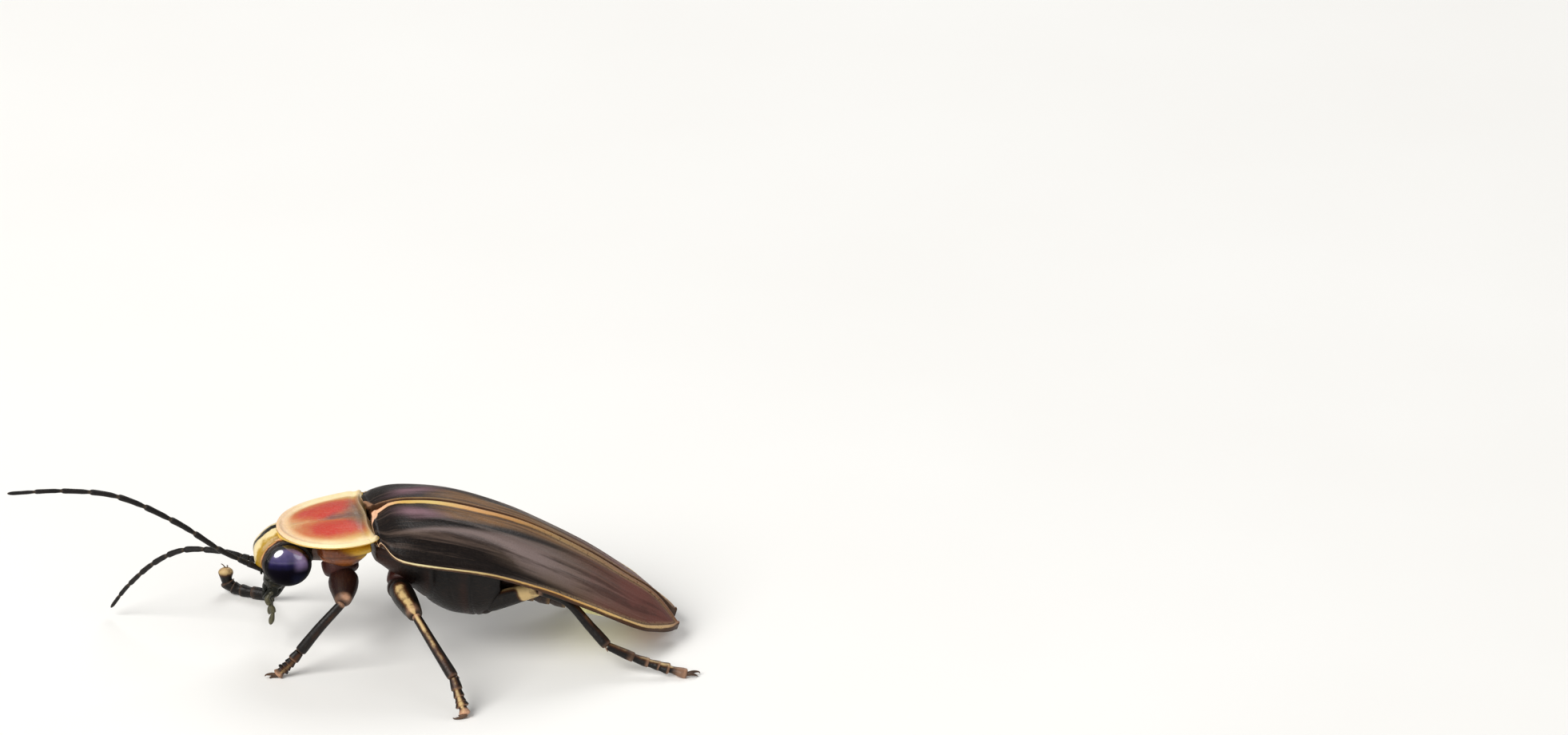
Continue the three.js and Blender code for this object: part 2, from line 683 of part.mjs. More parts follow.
for (const [name, side] of [["left", -1], ["right", 1]]) {
  add(`eye_${name}`, fuse([makeEye(side)]), "eye");
  add(`wing_case_${name}`, fuse([makeWingCase(side)]), "shell");
  add(`antenna_${name}`, fuse(strand(feeler[name], feeler)), "chitin");
  add(`palp_${name}`, fuse(strand(palp.path.map(([x, y, z]) => [x, side * y, z]), palp)), "chitin");
}

const bellyRoom = makeAbdomen(abdomen.frontX - gap, abdomen.endX, 6, gap);
for (const [name, joint] of Object.entries(legs)) {
  const side = name.endsWith("left") ? -1 : 1;
  const body = name.startsWith("front") ? prothoraxBody(gap) : thoraxBody(gap);
  add(name, fuse(legPieces(joint), [body, bellyRoom, makeWingCase(side, gap), floorBlock]), "chitin");
}

export default firefly;
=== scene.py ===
# A firefly at life size: shells, plates, limbs and eyes made as surfaces, and dressed for the studio.
# The tables are in millimetres about the middle of the shoulders: +Z up, head toward -X, left side toward -Y.
import math

import bpy
import numpy as np
from mathutils import Matrix, Vector


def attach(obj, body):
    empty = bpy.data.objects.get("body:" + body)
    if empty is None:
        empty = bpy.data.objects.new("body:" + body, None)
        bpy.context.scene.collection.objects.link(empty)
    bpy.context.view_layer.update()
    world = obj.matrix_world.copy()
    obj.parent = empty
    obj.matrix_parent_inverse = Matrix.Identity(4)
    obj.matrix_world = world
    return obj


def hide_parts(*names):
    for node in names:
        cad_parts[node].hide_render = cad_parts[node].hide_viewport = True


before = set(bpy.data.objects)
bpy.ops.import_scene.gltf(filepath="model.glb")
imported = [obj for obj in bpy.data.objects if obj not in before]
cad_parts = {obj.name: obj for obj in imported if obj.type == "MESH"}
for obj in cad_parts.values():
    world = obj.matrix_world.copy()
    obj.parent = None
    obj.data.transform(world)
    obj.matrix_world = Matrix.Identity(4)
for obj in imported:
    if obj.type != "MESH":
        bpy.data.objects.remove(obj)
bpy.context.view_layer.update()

mm = 0.001
toPart = np.array([1.76, 0.13, 0.0])  # from the tables' origin to the part's own
upright = np.array([0.0, 0.0, 1.0])
sides = {"left": -1, "right": 1}
print("frame loaded:", len(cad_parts), "nodes")


# Shaping helpers

def ease(x, start, end):
    # 0 before start and 1 after end, with t*t*(3-2t) between
    t = np.clip((np.asarray(x, float) - start) / (end - start), 0, 1)
    return t * t * (3 - 2 * t)


def bell(x, centre, width):
    # exp of minus the squared distance from the centre, in widths
    return np.exp(-(((np.asarray(x, float) - centre) / width) ** 2))


def mounds(x, y, table):
    # Sum of height * bell along x * bell along y, for rows (height, place x, width x, place y, width y)
    return sum(tall * bell(x, atX, wideX) * bell(y, atY, wideY) for tall, atX, wideX, atY, wideY in table)


def lerp(a, b, t):
    # The value that lies a share t of the way from a to b
    return a + (b - a) * t


def along(table):
    # Smooth line through stations [x, value]: a cubic on each span, its end slopes read from the neighbours
    xs, vs = np.array(table, float).T
    after = np.minimum(np.arange(len(xs)) + 1, len(xs) - 1)
    before = np.maximum(np.arange(len(xs)) - 1, 0)
    slopes = (vs[after] - vs[before]) / (xs[after] - xs[before])

    def value(x):
        x = np.clip(np.asarray(x, float), xs[0], xs[-1])
        i = np.clip(np.searchsorted(xs, x, side="right") - 1, 0, len(xs) - 2)
        span = xs[i + 1] - xs[i]
        t = (x - xs[i]) / span
        rise = t * t * (3 - 2 * t)
        return (vs[i] + (vs[i + 1] - vs[i]) * rise
                + span * (slopes[i] * t * (1 - t) ** 2 + slopes[i + 1] * t * t * (t - 1)))

    return value


def unit(vectors):
    # Vectors divided by their lengths
    return vectors / np.maximum(np.linalg.norm(vectors, axis=-1, keepdims=True), 1e-12)


def crowded(count, share=1.0):
    # Steps from 0 to 1, crowded toward both ends: the straight count mixed with half a cosine wave
    t = np.linspace(0, 1, count)
    return lerp(t, 0.5 - 0.5 * np.cos(math.pi * t), share)


def around(count, shift=0.0):
    # Angles of a full turn in even steps, all of them moved on by a share of a step
    return (np.arange(count) + shift) / count * 2 * math.pi


def squarish(a, power):
    # Cosine and sine of the angles; a power below 1 makes the circle a rounded square
    return (np.sign(w) * np.abs(w) ** power for w in (np.cos(a), np.sin(a)))


def runOf(path):
    # Length along a path from its first point to each point
    return np.concatenate([[0], np.cumsum(np.linalg.norm(np.diff(path, axis=0), axis=1))])


def pointsAt(path, run, want):
    # The path's points where its run has the wanted values
    return np.stack([np.interp(want, run, path[:, k]) for k in range(3)], 1)


def pathThrough(points, count, share=1.0):
    # Smooth line through the points by their chord length, read again at steps of its own length
    points = np.asarray(points, float)
    chord = runOf(points)
    fine = np.linspace(0, chord[-1], 60 * len(points))
    track = np.stack([along(np.stack([chord, points[:, k]], 1))(fine) for k in range(3)], 1)
    run = runOf(track)
    return pointsAt(track, run, crowded(count, share) * run[-1])


def drawnIn(run, start, end):
    # 1 along the middle, drawn in to almost nothing at both ends on a quarter ellipse of the given lengths
    near = 1 - (1 - np.clip(run / start, 0, 1)) ** 2
    far = 1 - (1 - np.clip((run[-1] - run) / end, 0, 1)) ** 2
    return np.maximum(np.sqrt(near * far), 0.03)


def roundOff(rings, x, start, end):
    # Rings drawn in toward their own middles over the given lengths at both ends of x
    middle = rings.mean(1, keepdims=True)
    return middle + (rings - middle) * drawnIn(x - x[0], start, end)[:, None, None]


def tube(path, wide, deep, facets=20, lean=upright, power=1.0):
    # An oval carried along a path: centre + wide cos(a) sideways + deep sin(a) toward lean
    direction = unit(np.gradient(path, axis=0))
    side = unit(np.cross(direction, np.asarray(lean, float)))
    up = np.cross(side, direction)
    c, s = squarish(around(facets), power)
    wide, deep = (np.broadcast_to(w, len(path))[:, None, None] for w in (wide, deep))
    return path[:, None] + wide * c[None, :, None] * side[:, None] + deep * s[None, :, None] * up[:, None]


def carve(rings, amount):
    # Moves each grid point outward: along the two grid steps crossed, turned away from the ring's middle
    down = np.gradient(rings, axis=0)
    out = unit(np.cross(down, np.roll(rings, -1, 1) - np.roll(rings, 1, 1)))
    away = rings - rings.mean(1, keepdims=True)
    out = out if (out * away).sum() > 0 else -out
    return rings + out * np.asarray(amount, float)[..., None]


def upwardOf(top):
    # Direction square to an open sheet at each grid point, on its upper side
    out = unit(np.cross(np.gradient(top, axis=0), np.gradient(top, axis=1)))
    return np.where(out[..., 2:] < 0, -out, out)


def fewColumns(count, kept):
    # Numbers of the columns that a coarser underside keeps, from the last to the first
    return np.unique(np.round(np.linspace(0, count - 1, kept)).astype(int))[::-1]


def bothFaces(marks, kept):
    # The marks of a sheet's upper side, repeated on its underside's columns, and one that tells the underside
    upper = next(iter(marks.values()))
    under = {"under": np.concatenate([0 * upper, 0 * upper[:, kept] + 1], 1)}
    return under | {key: np.concatenate([value, value[:, kept]], 1) for key, value in marks.items()}


def lip(distance, radius):
    # How far a rounded edge falls back: a quarter circle of the radius, from its full drop at the border
    t = 1 - np.clip(distance / radius, 0, 1)
    return radius * (1 - np.sqrt(np.maximum(1 - t * t, 0)))


# Mesh helpers

def skin(rings, marks=None, material=0):
    # Rings [n, m, 3] joined into quads, each ring closed on itself and a fan over each end, faces turned out
    n, m = rings.shape[:2]
    index = np.arange(n * m).reshape(n, m)
    nextOne = np.roll(index, -1, 1)
    quads = np.stack([index[:-1], nextOne[:-1], nextOne[1:], index[1:]], -1).reshape(-1, 4)
    girth = np.linalg.norm(np.roll(rings, -1, 1) - rings, axis=2).sum(1).mean()
    grid = np.stack(np.meshgrid(runOf(rings.mean(1)), np.linspace(0, girth, m + 1), indexing="ij"), -1)
    quadMap = np.stack([grid[:-1, :-1], grid[:-1, 1:], grid[1:, 1:], grid[1:, :-1]], 2).reshape(-1, 4, 2)
    fans, fanMap = [], []
    for row, tip, turn in ((0, n * m, True), (n - 1, n * m + 1, False)):
        a, b = index[row], nextOne[row]
        here = np.stack([(grid[row, :-1] + grid[row, 1:]) / 2, grid[row, :-1], grid[row, 1:]], 1)
        fans.append(np.stack([np.full(m, tip), b, a] if turn else [np.full(m, tip), a, b], 1))
        fanMap.append(here[:, [0, 2, 1]] if turn else here)
    tris, triMap = np.concatenate(fans), np.concatenate(fanMap)
    points = np.concatenate([rings.reshape(-1, 3), rings[[0, -1]].mean(1)])
    corners = np.concatenate([quads[:, [0, 1, 2]], quads[:, [0, 2, 3]], tris])
    a, b, c = (points[corners[:, k]] - points.mean(0) for k in range(3))
    if (a * np.cross(b, c)).sum() < 0:  # six times the volume: below zero where the faces point in
        quads, tris, quadMap, triMap = (part[:, ::-1] for part in (quads, tris, quadMap, triMap))
    values = {}
    for name, value in (marks or {}).items():
        value = np.broadcast_to(value, (n, m)).astype(float)
        values[name] = np.concatenate([value.ravel(), value[[0, -1]].mean(1)])
    return {"points": points, "quads": quads, "tris": tris, "quadMap": quadMap, "triMap": triMap,
            "values": values, "material": material}


def addObject(name, data):
    # A mesh, lamp or camera as an object of the scene
    made = bpy.data.objects.new(name, data)
    bpy.context.scene.collection.objects.link(made)
    return made


def makePiece(name, skins, materials, node):
    # One mesh object from closed skins: corner lists end to end, foreach_set from whole arrays, at the origin
    start = np.cumsum([0] + [len(s["points"]) for s in skins[:-1]])
    points = np.concatenate([s["points"] for s in skins]) + toPart
    corners = np.concatenate([np.concatenate([(s["quads"] + k).ravel(), (s["tris"] + k).ravel()])
                              for s, k in zip(skins, start)])
    sizes = np.concatenate([np.repeat([4, 3], [len(s["quads"]), len(s["tris"])]) for s in skins])
    look = np.concatenate([np.full(len(s["quads"]) + len(s["tris"]), s["material"]) for s in skins])
    lie = np.concatenate([s[key].reshape(-1, 2) for s in skins for key in ("quadMap", "triMap")])
    mesh = bpy.data.meshes.new(name)
    mesh.vertices.add(len(points))
    mesh.vertices.foreach_set("co", (points * mm).astype(np.float32).ravel())
    mesh.loops.add(len(corners))
    mesh.loops.foreach_set("vertex_index", corners.astype(np.int32))
    mesh.polygons.add(len(sizes))
    mesh.polygons.foreach_set("loop_start", np.concatenate([[0], np.cumsum(sizes)[:-1]]).astype(np.int32))
    mesh.polygons.foreach_set("material_index", look.astype(np.int32))
    mesh.polygons.foreach_set("use_smooth", np.ones(len(sizes), bool))
    mesh.uv_layers.new(name="lie").data.foreach_set("uv", lie.astype(np.float32).ravel())
    for key in sorted({k for s in skins for k in s["values"]}):
        value = np.concatenate([s["values"].get(key, np.zeros(len(s["points"]))) for s in skins])
        mesh.attributes.new(key, "FLOAT", "POINT").data.foreach_set("value", value.astype(np.float32))
    for material in materials:
        mesh.materials.append(material)
    mesh.update(calc_edges=True)
    mesh.validate()
    piece = addObject(name, mesh)
    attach(piece, "root")
    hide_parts(node)
    print("made", name, "with", int(sizes.size + (sizes == 4).sum()), "triangles")


# Shader helpers

def paint(code):
    # A screen colour such as c9a04b as the linear colour that the sockets want
    parts = [int(code[k:k + 2], 16) / 255 for k in (0, 2, 4)]
    return tuple(p / 12.92 if p <= 0.04045 else ((p + 0.055) / 1.055) ** 2.4 for p in parts) + (1.0,)


def put(tree, kind, values=(), **settings):
    # Adds a node: its settings first, then each input as a constant or as a link
    made = tree.nodes.new(kind)
    for key, value in settings.items():
        setattr(made, key, value)
    for key, value in dict(values).items():
        if isinstance(value, bpy.types.NodeSocket):
            tree.links.new(value, made.inputs[key])
        else:
            made.inputs[key].default_value = value
    return made


def calc(tree, operation, a, b, clamp=False):
    # One math node on a and b, each a number or a socket
    return put(tree, "ShaderNodeMath", {0: a, 1: b}, operation=operation, use_clamp=clamp).outputs[0]


def times(tree, a, b, clamp=False):
    return calc(tree, "MULTIPLY", a, b, clamp)


def plus(tree, a, b, clamp=False):
    return calc(tree, "ADD", a, b, clamp)


def spread(tree, value, low, high, toLow=0.0, toHigh=1.0):
    # Moves a value from one range to another on a smooth step
    values = {"Value": value, "From Min": low, "From Max": high, "To Min": toLow, "To Max": toHigh}
    return put(tree, "ShaderNodeMapRange", values, interpolation_type="SMOOTHSTEP").outputs["Result"]


def tint(tree, share, a, b):
    # Mixes two colours, each a socket or a colour code
    a, b = (paint(colour) if isinstance(colour, str) else colour for colour in (a, b))
    return put(tree, "ShaderNodeMix", {0: share, 6: a, 7: b}, data_type="RGBA").outputs[2]


def layered(tree, colour, *layers):
    # Colours laid over one another in order: each layer is (how much of it shows, colour)
    for share, over in layers:
        colour = tint(tree, share, colour, over)
    return colour


def ramp(tree, factor, stops):
    # Colours along a value: the stops are {place: colour code}
    made = put(tree, "ShaderNodeValToRGB", {"Fac": factor})
    bar = made.color_ramp.elements
    while len(bar) < len(stops):
        bar.new(0.5)
    for element, (place, code) in zip(bar, stops.items()):
        element.position = place
        element.color = paint(code)
    return made.outputs["Color"]


def mark(tree, name):
    # The value of that name that the mesh has at each point
    return put(tree, "ShaderNodeAttribute", attribute_name=name, attribute_type="GEOMETRY").outputs["Fac"]


def stretched(tree, vector, scale):
    # Coordinates multiplied by a scale on each axis
    return put(tree, "ShaderNodeMapping", {"Vector": vector, "Scale": scale}).outputs["Vector"]


def placeOf(tree):
    # Object coordinates in millimetres
    return stretched(tree, put(tree, "ShaderNodeTexCoord").outputs["Object"], (1 / mm, 1 / mm, 1 / mm))


def lieOf(tree):
    # The piece's own map: along it and round it, in millimetres
    return put(tree, "ShaderNodeUVMap", uv_map="lie").outputs["UV"]


def noise(tree, vector, scale, detail, roughness=0.5, distortion=0.0):
    # Cloudy noise between 0 and 1
    values = {"Vector": vector, "Scale": scale, "Detail": detail,
              "Roughness": roughness, "Distortion": distortion}
    return put(tree, "ShaderNodeTexNoise", values).outputs["Fac"]


def newGroup(name, inputs, outputs):
    # An empty shader group with its sockets, and its two end nodes
    group = bpy.data.node_groups.new(name, "ShaderNodeTree")

    def socket(label, way, kind="NodeSocketFloat"):
        return group.interface.new_socket(name=label, in_out=way, socket_type=kind)

    socket("Vector", "INPUT", "NodeSocketVector")
    for label, value in inputs.items():
        socket(label, "INPUT").default_value = value
    for label in outputs:
        socket(label, "OUTPUT")
    return group, group.nodes.new("NodeGroupInput").outputs, group.nodes.new("NodeGroupOutput").inputs


def cuticleGroup():
    # Chitin close up: cloudy shade, fine granules with a pit between them, and the gloss that goes with them
    group, given, out = newGroup("cuticle", {"Grain": 14.0, "Cloud": 1.2}, ("Shade", "Height", "Gloss"))
    cloud = noise(group, given["Vector"], given["Cloud"], 4.0, 0.6)
    fine = noise(group, given["Vector"], given["Grain"], 2.0, 0.55)
    cells = put(group, "ShaderNodeTexVoronoi", {"Vector": given["Vector"], "Scale": given["Grain"]},
                feature="SMOOTH_F1").outputs["Distance"]
    bumps = calc(group, "SUBTRACT", fine, times(group, cells, 0.9))
    group.links.new(spread(group, cloud, 0.3, 0.7), out["Shade"])
    group.links.new(plus(group, bumps, 0.5), out["Height"])
    group.links.new(plus(group, times(group, fine, 0.6), times(group, cloud, 0.4)), out["Gloss"])
    return group


def downGroup():
    # Short hairs that lie along the first axis: noise stretched nine times along it, cut to thin streaks
    group, given, out = newGroup("lyingDown", {"Scale": 3.0}, ("Streaks", "Height"))
    hairs = noise(group, stretched(group, given["Vector"], (1.0, 9.0, 9.0)), given["Scale"], 3.0, 0.7)
    group.links.new(spread(group, hairs, 0.5, 0.72), out["Streaks"])
    group.links.new(hairs, out["Height"])
    return group


cuticle = cuticleGroup()
lyingDown = downGroup()


def newLook(name, **constants):
    # A material whose plain numbers stand on the shader's own sockets
    look = bpy.data.materials.new(name)
    look.use_nodes = True
    shader = look.node_tree.nodes["Principled BSDF"]
    for key, value in constants.items():
        shader.inputs[key.replace("_", " ")].default_value = value
    return look, look.node_tree, shader.inputs


def useGroup(tree, group, **values):
    # A shader group set into a look, with its inputs
    return put(tree, "ShaderNodeGroup", values, node_tree=group).outputs


def relief(tree, shader, *layers):
    # Bump nodes in a chain: each layer is (height, how deep in millimetres)
    values = {"Strength": 1.0}
    for height, depth in layers:
        values.update({"Height": height, "Distance": depth * mm})
        values["Normal"] = put(tree, "ShaderNodeBump", values).outputs["Normal"]
    tree.links.new(values["Normal"], shader["Normal"])


def finishLook(tree, shader, colour, rough, *layers):
    # Ends a look: colour, a roughness between two values by the cuticle's gloss, relief from (group, depth)
    tree.links.new(colour, shader["Base Color"])
    tree.links.new(spread(tree, layers[0][0]["Gloss"], 0.25, 0.75, *rough), shader["Roughness"])
    relief(tree, shader, *((group["Height"], depth) for group, depth in layers))


print("shader groups ready")


# The back: tables that the shells and the body under them share

shield = {
    "frontX": -4.53, "rearX": -1.12, "halfWidth": 2.33,
    "roundness": 2.05, "noseShare": 0.82, "rearRound": 0.1,  # power and length of the nose, pull behind
    "turn": math.radians(5.5), "pivot": (-1.12, -1.3),  # the shield is turned a little to the left side
    "thickness": 0.5, "edgeThickness": 0.1, "dome": 2.2,
    "rows": 190, "columns": 150, "underColumns": 50,
    "midZ": along([[-4.53, 5.05], [-3.9, 5.15], [-2.7, 5.27], [-1.95, 5.34], [-1.12, 5.42]]),
    "edgeZ": along([[-4.53, 5.05], [-3.6, 5.08], [-2.7, 5.12], [-1.8, 5.21], [-1.12, 5.34]]),
    "corner": 0.17, "hollow": 0.07,  # the rear edge: how far its corners reach back and its arcs draw in
    "lip": (0.06, 0.1, 0.09), "gutter": (-0.035, 0.33, 0.14),  # rolled rim: height, distance from it, width
    "rearDip": (-0.04, 0.26, 0.12), "rearBead": (0.025, 0.08, 0.07),
    "midline": (-0.045, 0, 0.085), "midlineX": (-3.5, -2.4),
    # soft mounds on each side, the discs and the two in front: height, place and width along X, then along Y
    "mounds": ((0.075, -2.2, 0.85, 0.82, 0.5), (0.03, -3.75, 0.4, 0.72, 0.35)),
    "edgeRadius": 0.055, "rearRadius": 0.07,
    "patch": (-2.46, 0.8, 1.0, 0.62), "patchSlant": 0.25,  # red patch: place along and across, half sizes
    "streakY": 0.06, "streakHalf": (0.14, 0.5), "streakX": (-3.1, -2.2),
}
wing = {
    "baseX": -1.08, "tipX": 10.42,
    "thickness": 0.5, "edgeThickness": 0.1, "tipThickness": 0.2, "thinX": (6.5, 9.6),
    "rows": 300, "columns": 84, "underColumns": 26, "crowding": 0.72,
    "backZ": along([[-0.96, 5.44], [-0.3, 5.78], [0.4, 5.86], [1.6, 5.76], [3, 5.4],
                    [4.8, 4.76], [7, 3.54], [8.6, 2.42], [9.6, 1.68], [10.42, 0.68]]),
    "edgeZ": along([[-0.96, 5.05], [-0.3, 4.72], [1.1, 4.46], [3.1, 4.12], [5, 3.48],
                    [7.2, 2.38], [8.8, 1.46], [9.6, 0.99], [10.42, 0.64]]),
    "halfWidth": along([[-0.96, 2.3], [-0.7, 2.8], [-0.3, 2.98], [0.2, 3.06], [1.1, 3.12], [3.1, 3.22],
                        [4.9, 3.24], [7.2, 2.99], [8.85, 2.56], [9.6, 1.83], [10.15, 1.2], [10.42, 0.68]]),
    "innerEdge": along([[-0.96, 0], [8.9, 0], [9.6, 0.05], [10.15, 0.25], [10.42, 0.52]]),
    "arch": along([[-0.96, 4], [2, 3.4], [5, 1.9], [7.5, 1.8], [10.42, 1.5]]),
    "turnEndX": 2.0,  # where the slant of the shoulders has died away
    "seam": 0.045,  # half the groove between the two cases
    "ribs": ((0.24, 0.03), (0.46, 0.034), (0.66, 0.022)),  # place across, height
    "ribWidth": 0.035, "ribX": (-0.2, 1.4, 6.8, 9.4),  # where the ribs rise and where they die away
    # shoulder knob and the hollow beside it: height, place and width along X, place and width across
    "mounds": ((0.07, 0.35, 0.75, 0.78, 0.15), (-0.05, 0.3, 0.7, 0.5, 0.14)),
    "suturalBead": 0.05, "beadFoot": (-0.02, 1.4, 0.25), "marginBead": 0.055, "gutter": (-0.035, 0.3, 0.12),
    "gutterX": (7.5, 9.8), "baseBead": 0.06, "baseBeadEnd": (0.12, 0.26),
    "corner": 0.2, "cornerLength": 1.2, "cornerReach": (0.16, 0.3),
    "radii": (0.07, 0.04, 0.15, 0.05),  # how round the edge is at the seam, the margin, the base and the tip
    "seamRim": along([[-0.96, 0.24], [0.0, 0.2], [1, 0.24], [3, 0.28], [5, 0.25], [8, 0.22], [10.42, 0.16]]),
    "marginRim": along([[-0.96, 0.07], [2, 0.07], [4, 0.1], [6, 0.14], [9.5, 0.17], [10.42, 0.15]]),
    "baseRim": 0.24,
    # dark and pale streaks: place across, half width and strength along X
    "darkPlace": along([[-1, 0.58], [0.2, 0.56], [1.3, 0.51], [2.3, 0.47], [3.3, 0.42], [4.3, 0.35],
                        [5.6, 0.29], [8, 0.22]]),
    "darkWidth": along([[-1, 0.1], [1, 0.075], [3, 0.05], [5.5, 0.035], [8, 0.03]]),
    "darkPower": along([[-1, 1], [4.4, 1], [5.6, 0.65], [7, 0.3], [9, 0.1]]),
    "palePlace": along([[-1, 0.7], [0.2, 0.68], [1.2, 0.63], [2.2, 0.59], [3.5, 0.56], [4.5, 0.6],
                        [5.3, 0.6], [7.2, 0.62]]),
    "paleWidth": along([[-1, 0.025], [1, 0.04], [2.2, 0.06], [3.5, 0.11], [4.5, 0.19], [5.5, 0.25],
                        [8, 0.3]]),
    "palePower": along([[-1, 0.2], [0.2, 0.5], [1.2, 0.75], [3.5, 0.95], [5, 1], [6.4, 0.6], [8, 0.3],
                        [10.42, 0]]),
    "paleThread": ((0.35, 1.6, 1.3, 0.84, 0.016),),  # a thin pale line near the margin, as a mound
}
scutellum = {"frontX": -0.94, "length": 0.6, "halfWidth": 0.2, "taper": 0.85, "thickness": 0.5, "rise": -0.02,
             "power": 0.45, "gap": 0.02}


def backTop(x, y):
    # Height of the back: the ridge's less the fall to the margin times (|y| / half width) to the arch power
    across = np.minimum(np.abs(y) / wing["halfWidth"](x), 1)
    return wing["backZ"](x) - (wing["backZ"](x) - wing["edgeZ"](x)) * across ** wing["arch"](x)


def wingThickness(x, across):
    # The shell's thickness: less toward the tip, and thin along the margin
    body = lerp(wing["thickness"], wing["tipThickness"], ease(x, *wing["thinX"]))
    return lerp(body, np.minimum(wing["edgeThickness"], body), ease(across, 0.7, 1))


def scutellumHalf(x):
    # Half width of a triangle with slightly swollen sides
    u = np.clip((x - scutellum["frontX"]) / scutellum["length"], 0, 1)
    return scutellum["halfWidth"] * (1 - u) ** scutellum["taper"]


def caseInner(x):
    # Inner edge: the seam, and in front of it the slanting side of the scutellum
    end = scutellum["frontX"] + scutellum["length"]
    notch = (scutellumHalf(x - 0.04) + scutellum["gap"]) * ease(end + 0.1 - x, 0, 0.2)
    return np.maximum(wing["seam"], notch) + wing["innerEdge"](x)


def slanted(points):
    # x less tan(turn) (y - pivot), dying away down the back: the shoulders follow the turned shield
    share = 1 - ease(points[..., 0], shield["pivot"][0], wing["turnEndX"])
    shift = math.tan(shield["turn"]) * (points[..., 1] - shield["pivot"][1]) * share
    return points - np.stack([shift, 0 * shift, 0 * shift], -1)


# The wing cases

def wingMarks(x, v, side):
    # The streaks of one case, each strong at its place across and along; the mauve one is a painted sheen and
    # the far seam's one a painted shade
    front = (1 - ease(x, -0.7, 0.5)) * ease(v, 0.1, 0.26)
    flank = ease(v, 0.7, 0.8) * (1 - ease(x, 2.6, 4.6))
    lower = bell(v, 0.91, 0.05) * ease(x, 2.6, 3.6) * (1 - ease(x, 5, 7.5))
    dark = bell(v, wing["darkPlace"](x), wing["darkWidth"](x)) * wing["darkPower"](x)
    pale = bell(v, wing["palePlace"](x), wing["paleWidth"](x)) * wing["palePower"](x)
    tanEnd = wing["darkPlace"](x) - 0.02
    return {
        "dark": np.clip(dark + 0.95 * front + 0.9 * (flank + 0.9 * lower), 0, 1),
        "pale": pale + mounds(x, v, wing["paleThread"]),
        "tan": (1 - ease(v, tanEnd - 0.14, tanEnd)) * ease(x, 0.6, 2.2),
        # painted sheen: a mauve band near the seam at the front of the case
        "mauve": 1.2 * bell(v, lerp(0.28, 0.38, ease(x, -0.2, 1.8)), 0.12) * bell(x, 0.6, 1.0),
        # painted shade: the far case's seam bead turns away from the light
        "mellow": 0 * x + (side > 0),  # the far case's seam is browner
    }


def wingCase(side):
    # x runs down the case, y from the inner edge to the margin; height is backTop plus ribs, beads and lips
    u = crowded(wing["rows"], 0.5)[:, None]
    s = np.linspace(0, 1, wing["columns"])[None, :]
    v = s - wing["crowding"] * np.sin(2 * math.pi * s) / (2 * math.pi)
    x = lerp(wing["baseX"], wing["tipX"], u) + 0 * v
    inner, outer = caseInner(x), wing["halfWidth"](x)
    y = inner + (outer - inner) * v
    nearSeam, nearMargin = wing["cornerReach"]
    corner = np.exp(-(y - inner) / nearSeam) + 0.5 * np.exp(-(outer - y) / nearMargin)
    x = x + wing["corner"] * corner * (1 - ease(x, wing["baseX"], wing["baseX"] + wing["cornerLength"]))
    top = np.stack([x, y, backTop(x, y)], -1)
    acrossRun = np.cumsum(np.linalg.norm(np.diff(top, axis=1), axis=2), 1)
    downRun = np.cumsum(np.linalg.norm(np.diff(top, axis=0), axis=2), 0)
    fromSeam = np.concatenate([np.zeros((len(u), 1)), acrossRun], 1)
    fromBase = np.concatenate([np.zeros((1, s.size)), downRun])
    fromMargin, fromTip = fromSeam[:, -1:] - fromSeam, fromBase[-1:] - fromBase
    seamRim, marginRim = wing["seamRim"](x), wing["marginRim"](x)
    riseX, fullX, fallX, goneX = wing["ribX"]
    fade = ease(x, riseX, fullX) * (1 - ease(x, fallX, goneX))
    foot, dip = wing["beadFoot"], wing["gutter"]
    height = sum(tall * bell(v, place, wing["ribWidth"]) for place, tall in wing["ribs"]) * fade
    height = height + mounds(x, v, wing["mounds"])
    height = height + wing["suturalBead"] * (1 - ease(np.minimum(fromSeam / seamRim, 2), 0.5, 1.15))
    height = height + foot[0] * bell(fromSeam / seamRim, *foot[1:])
    height = height + wing["marginBead"] * (1 - ease(fromMargin, 0.6 * marginRim, 1.3 * marginRim))
    height = height + dip[0] * bell(fromMargin, *dip[1:]) * (1 - ease(x, *wing["gutterX"]))
    height = height + wing["baseBead"] * (1 - ease(fromBase, *wing["baseBeadEnd"]))
    distances = (fromSeam, fromMargin, fromBase, fromTip)
    drop = np.maximum.reduce([lip(distance, radius) for distance, radius in zip(distances, wing["radii"])])
    upper = top + upwardOf(top) * height[..., None] - upright * drop[..., None]
    lean = np.hypot(1, np.gradient(wing["backZ"](x[:, 0]), x[:, 0]))[:, None]
    depth = wingThickness(x, y / outer) * lean - drop
    kept = fewColumns(s.size, wing["underColumns"])
    lower = (top - upright * depth[..., None])[:, kept]
    rings = np.concatenate([upper, lower], 1) * np.array([1, side, 1])
    baseRim = wing["baseRim"] * (1 - ease(y - inner, 0.35, 0.9)) + 0.01
    border = np.minimum.reduce([fromSeam / seamRim, fromMargin / marginRim, fromBase / baseRim])
    marks = {"across": v + 0 * x, "down": u + 0 * v, "border": border, **wingMarks(x, v, side)}
    return skin(slanted(rings), bothFaces(marks, kept))


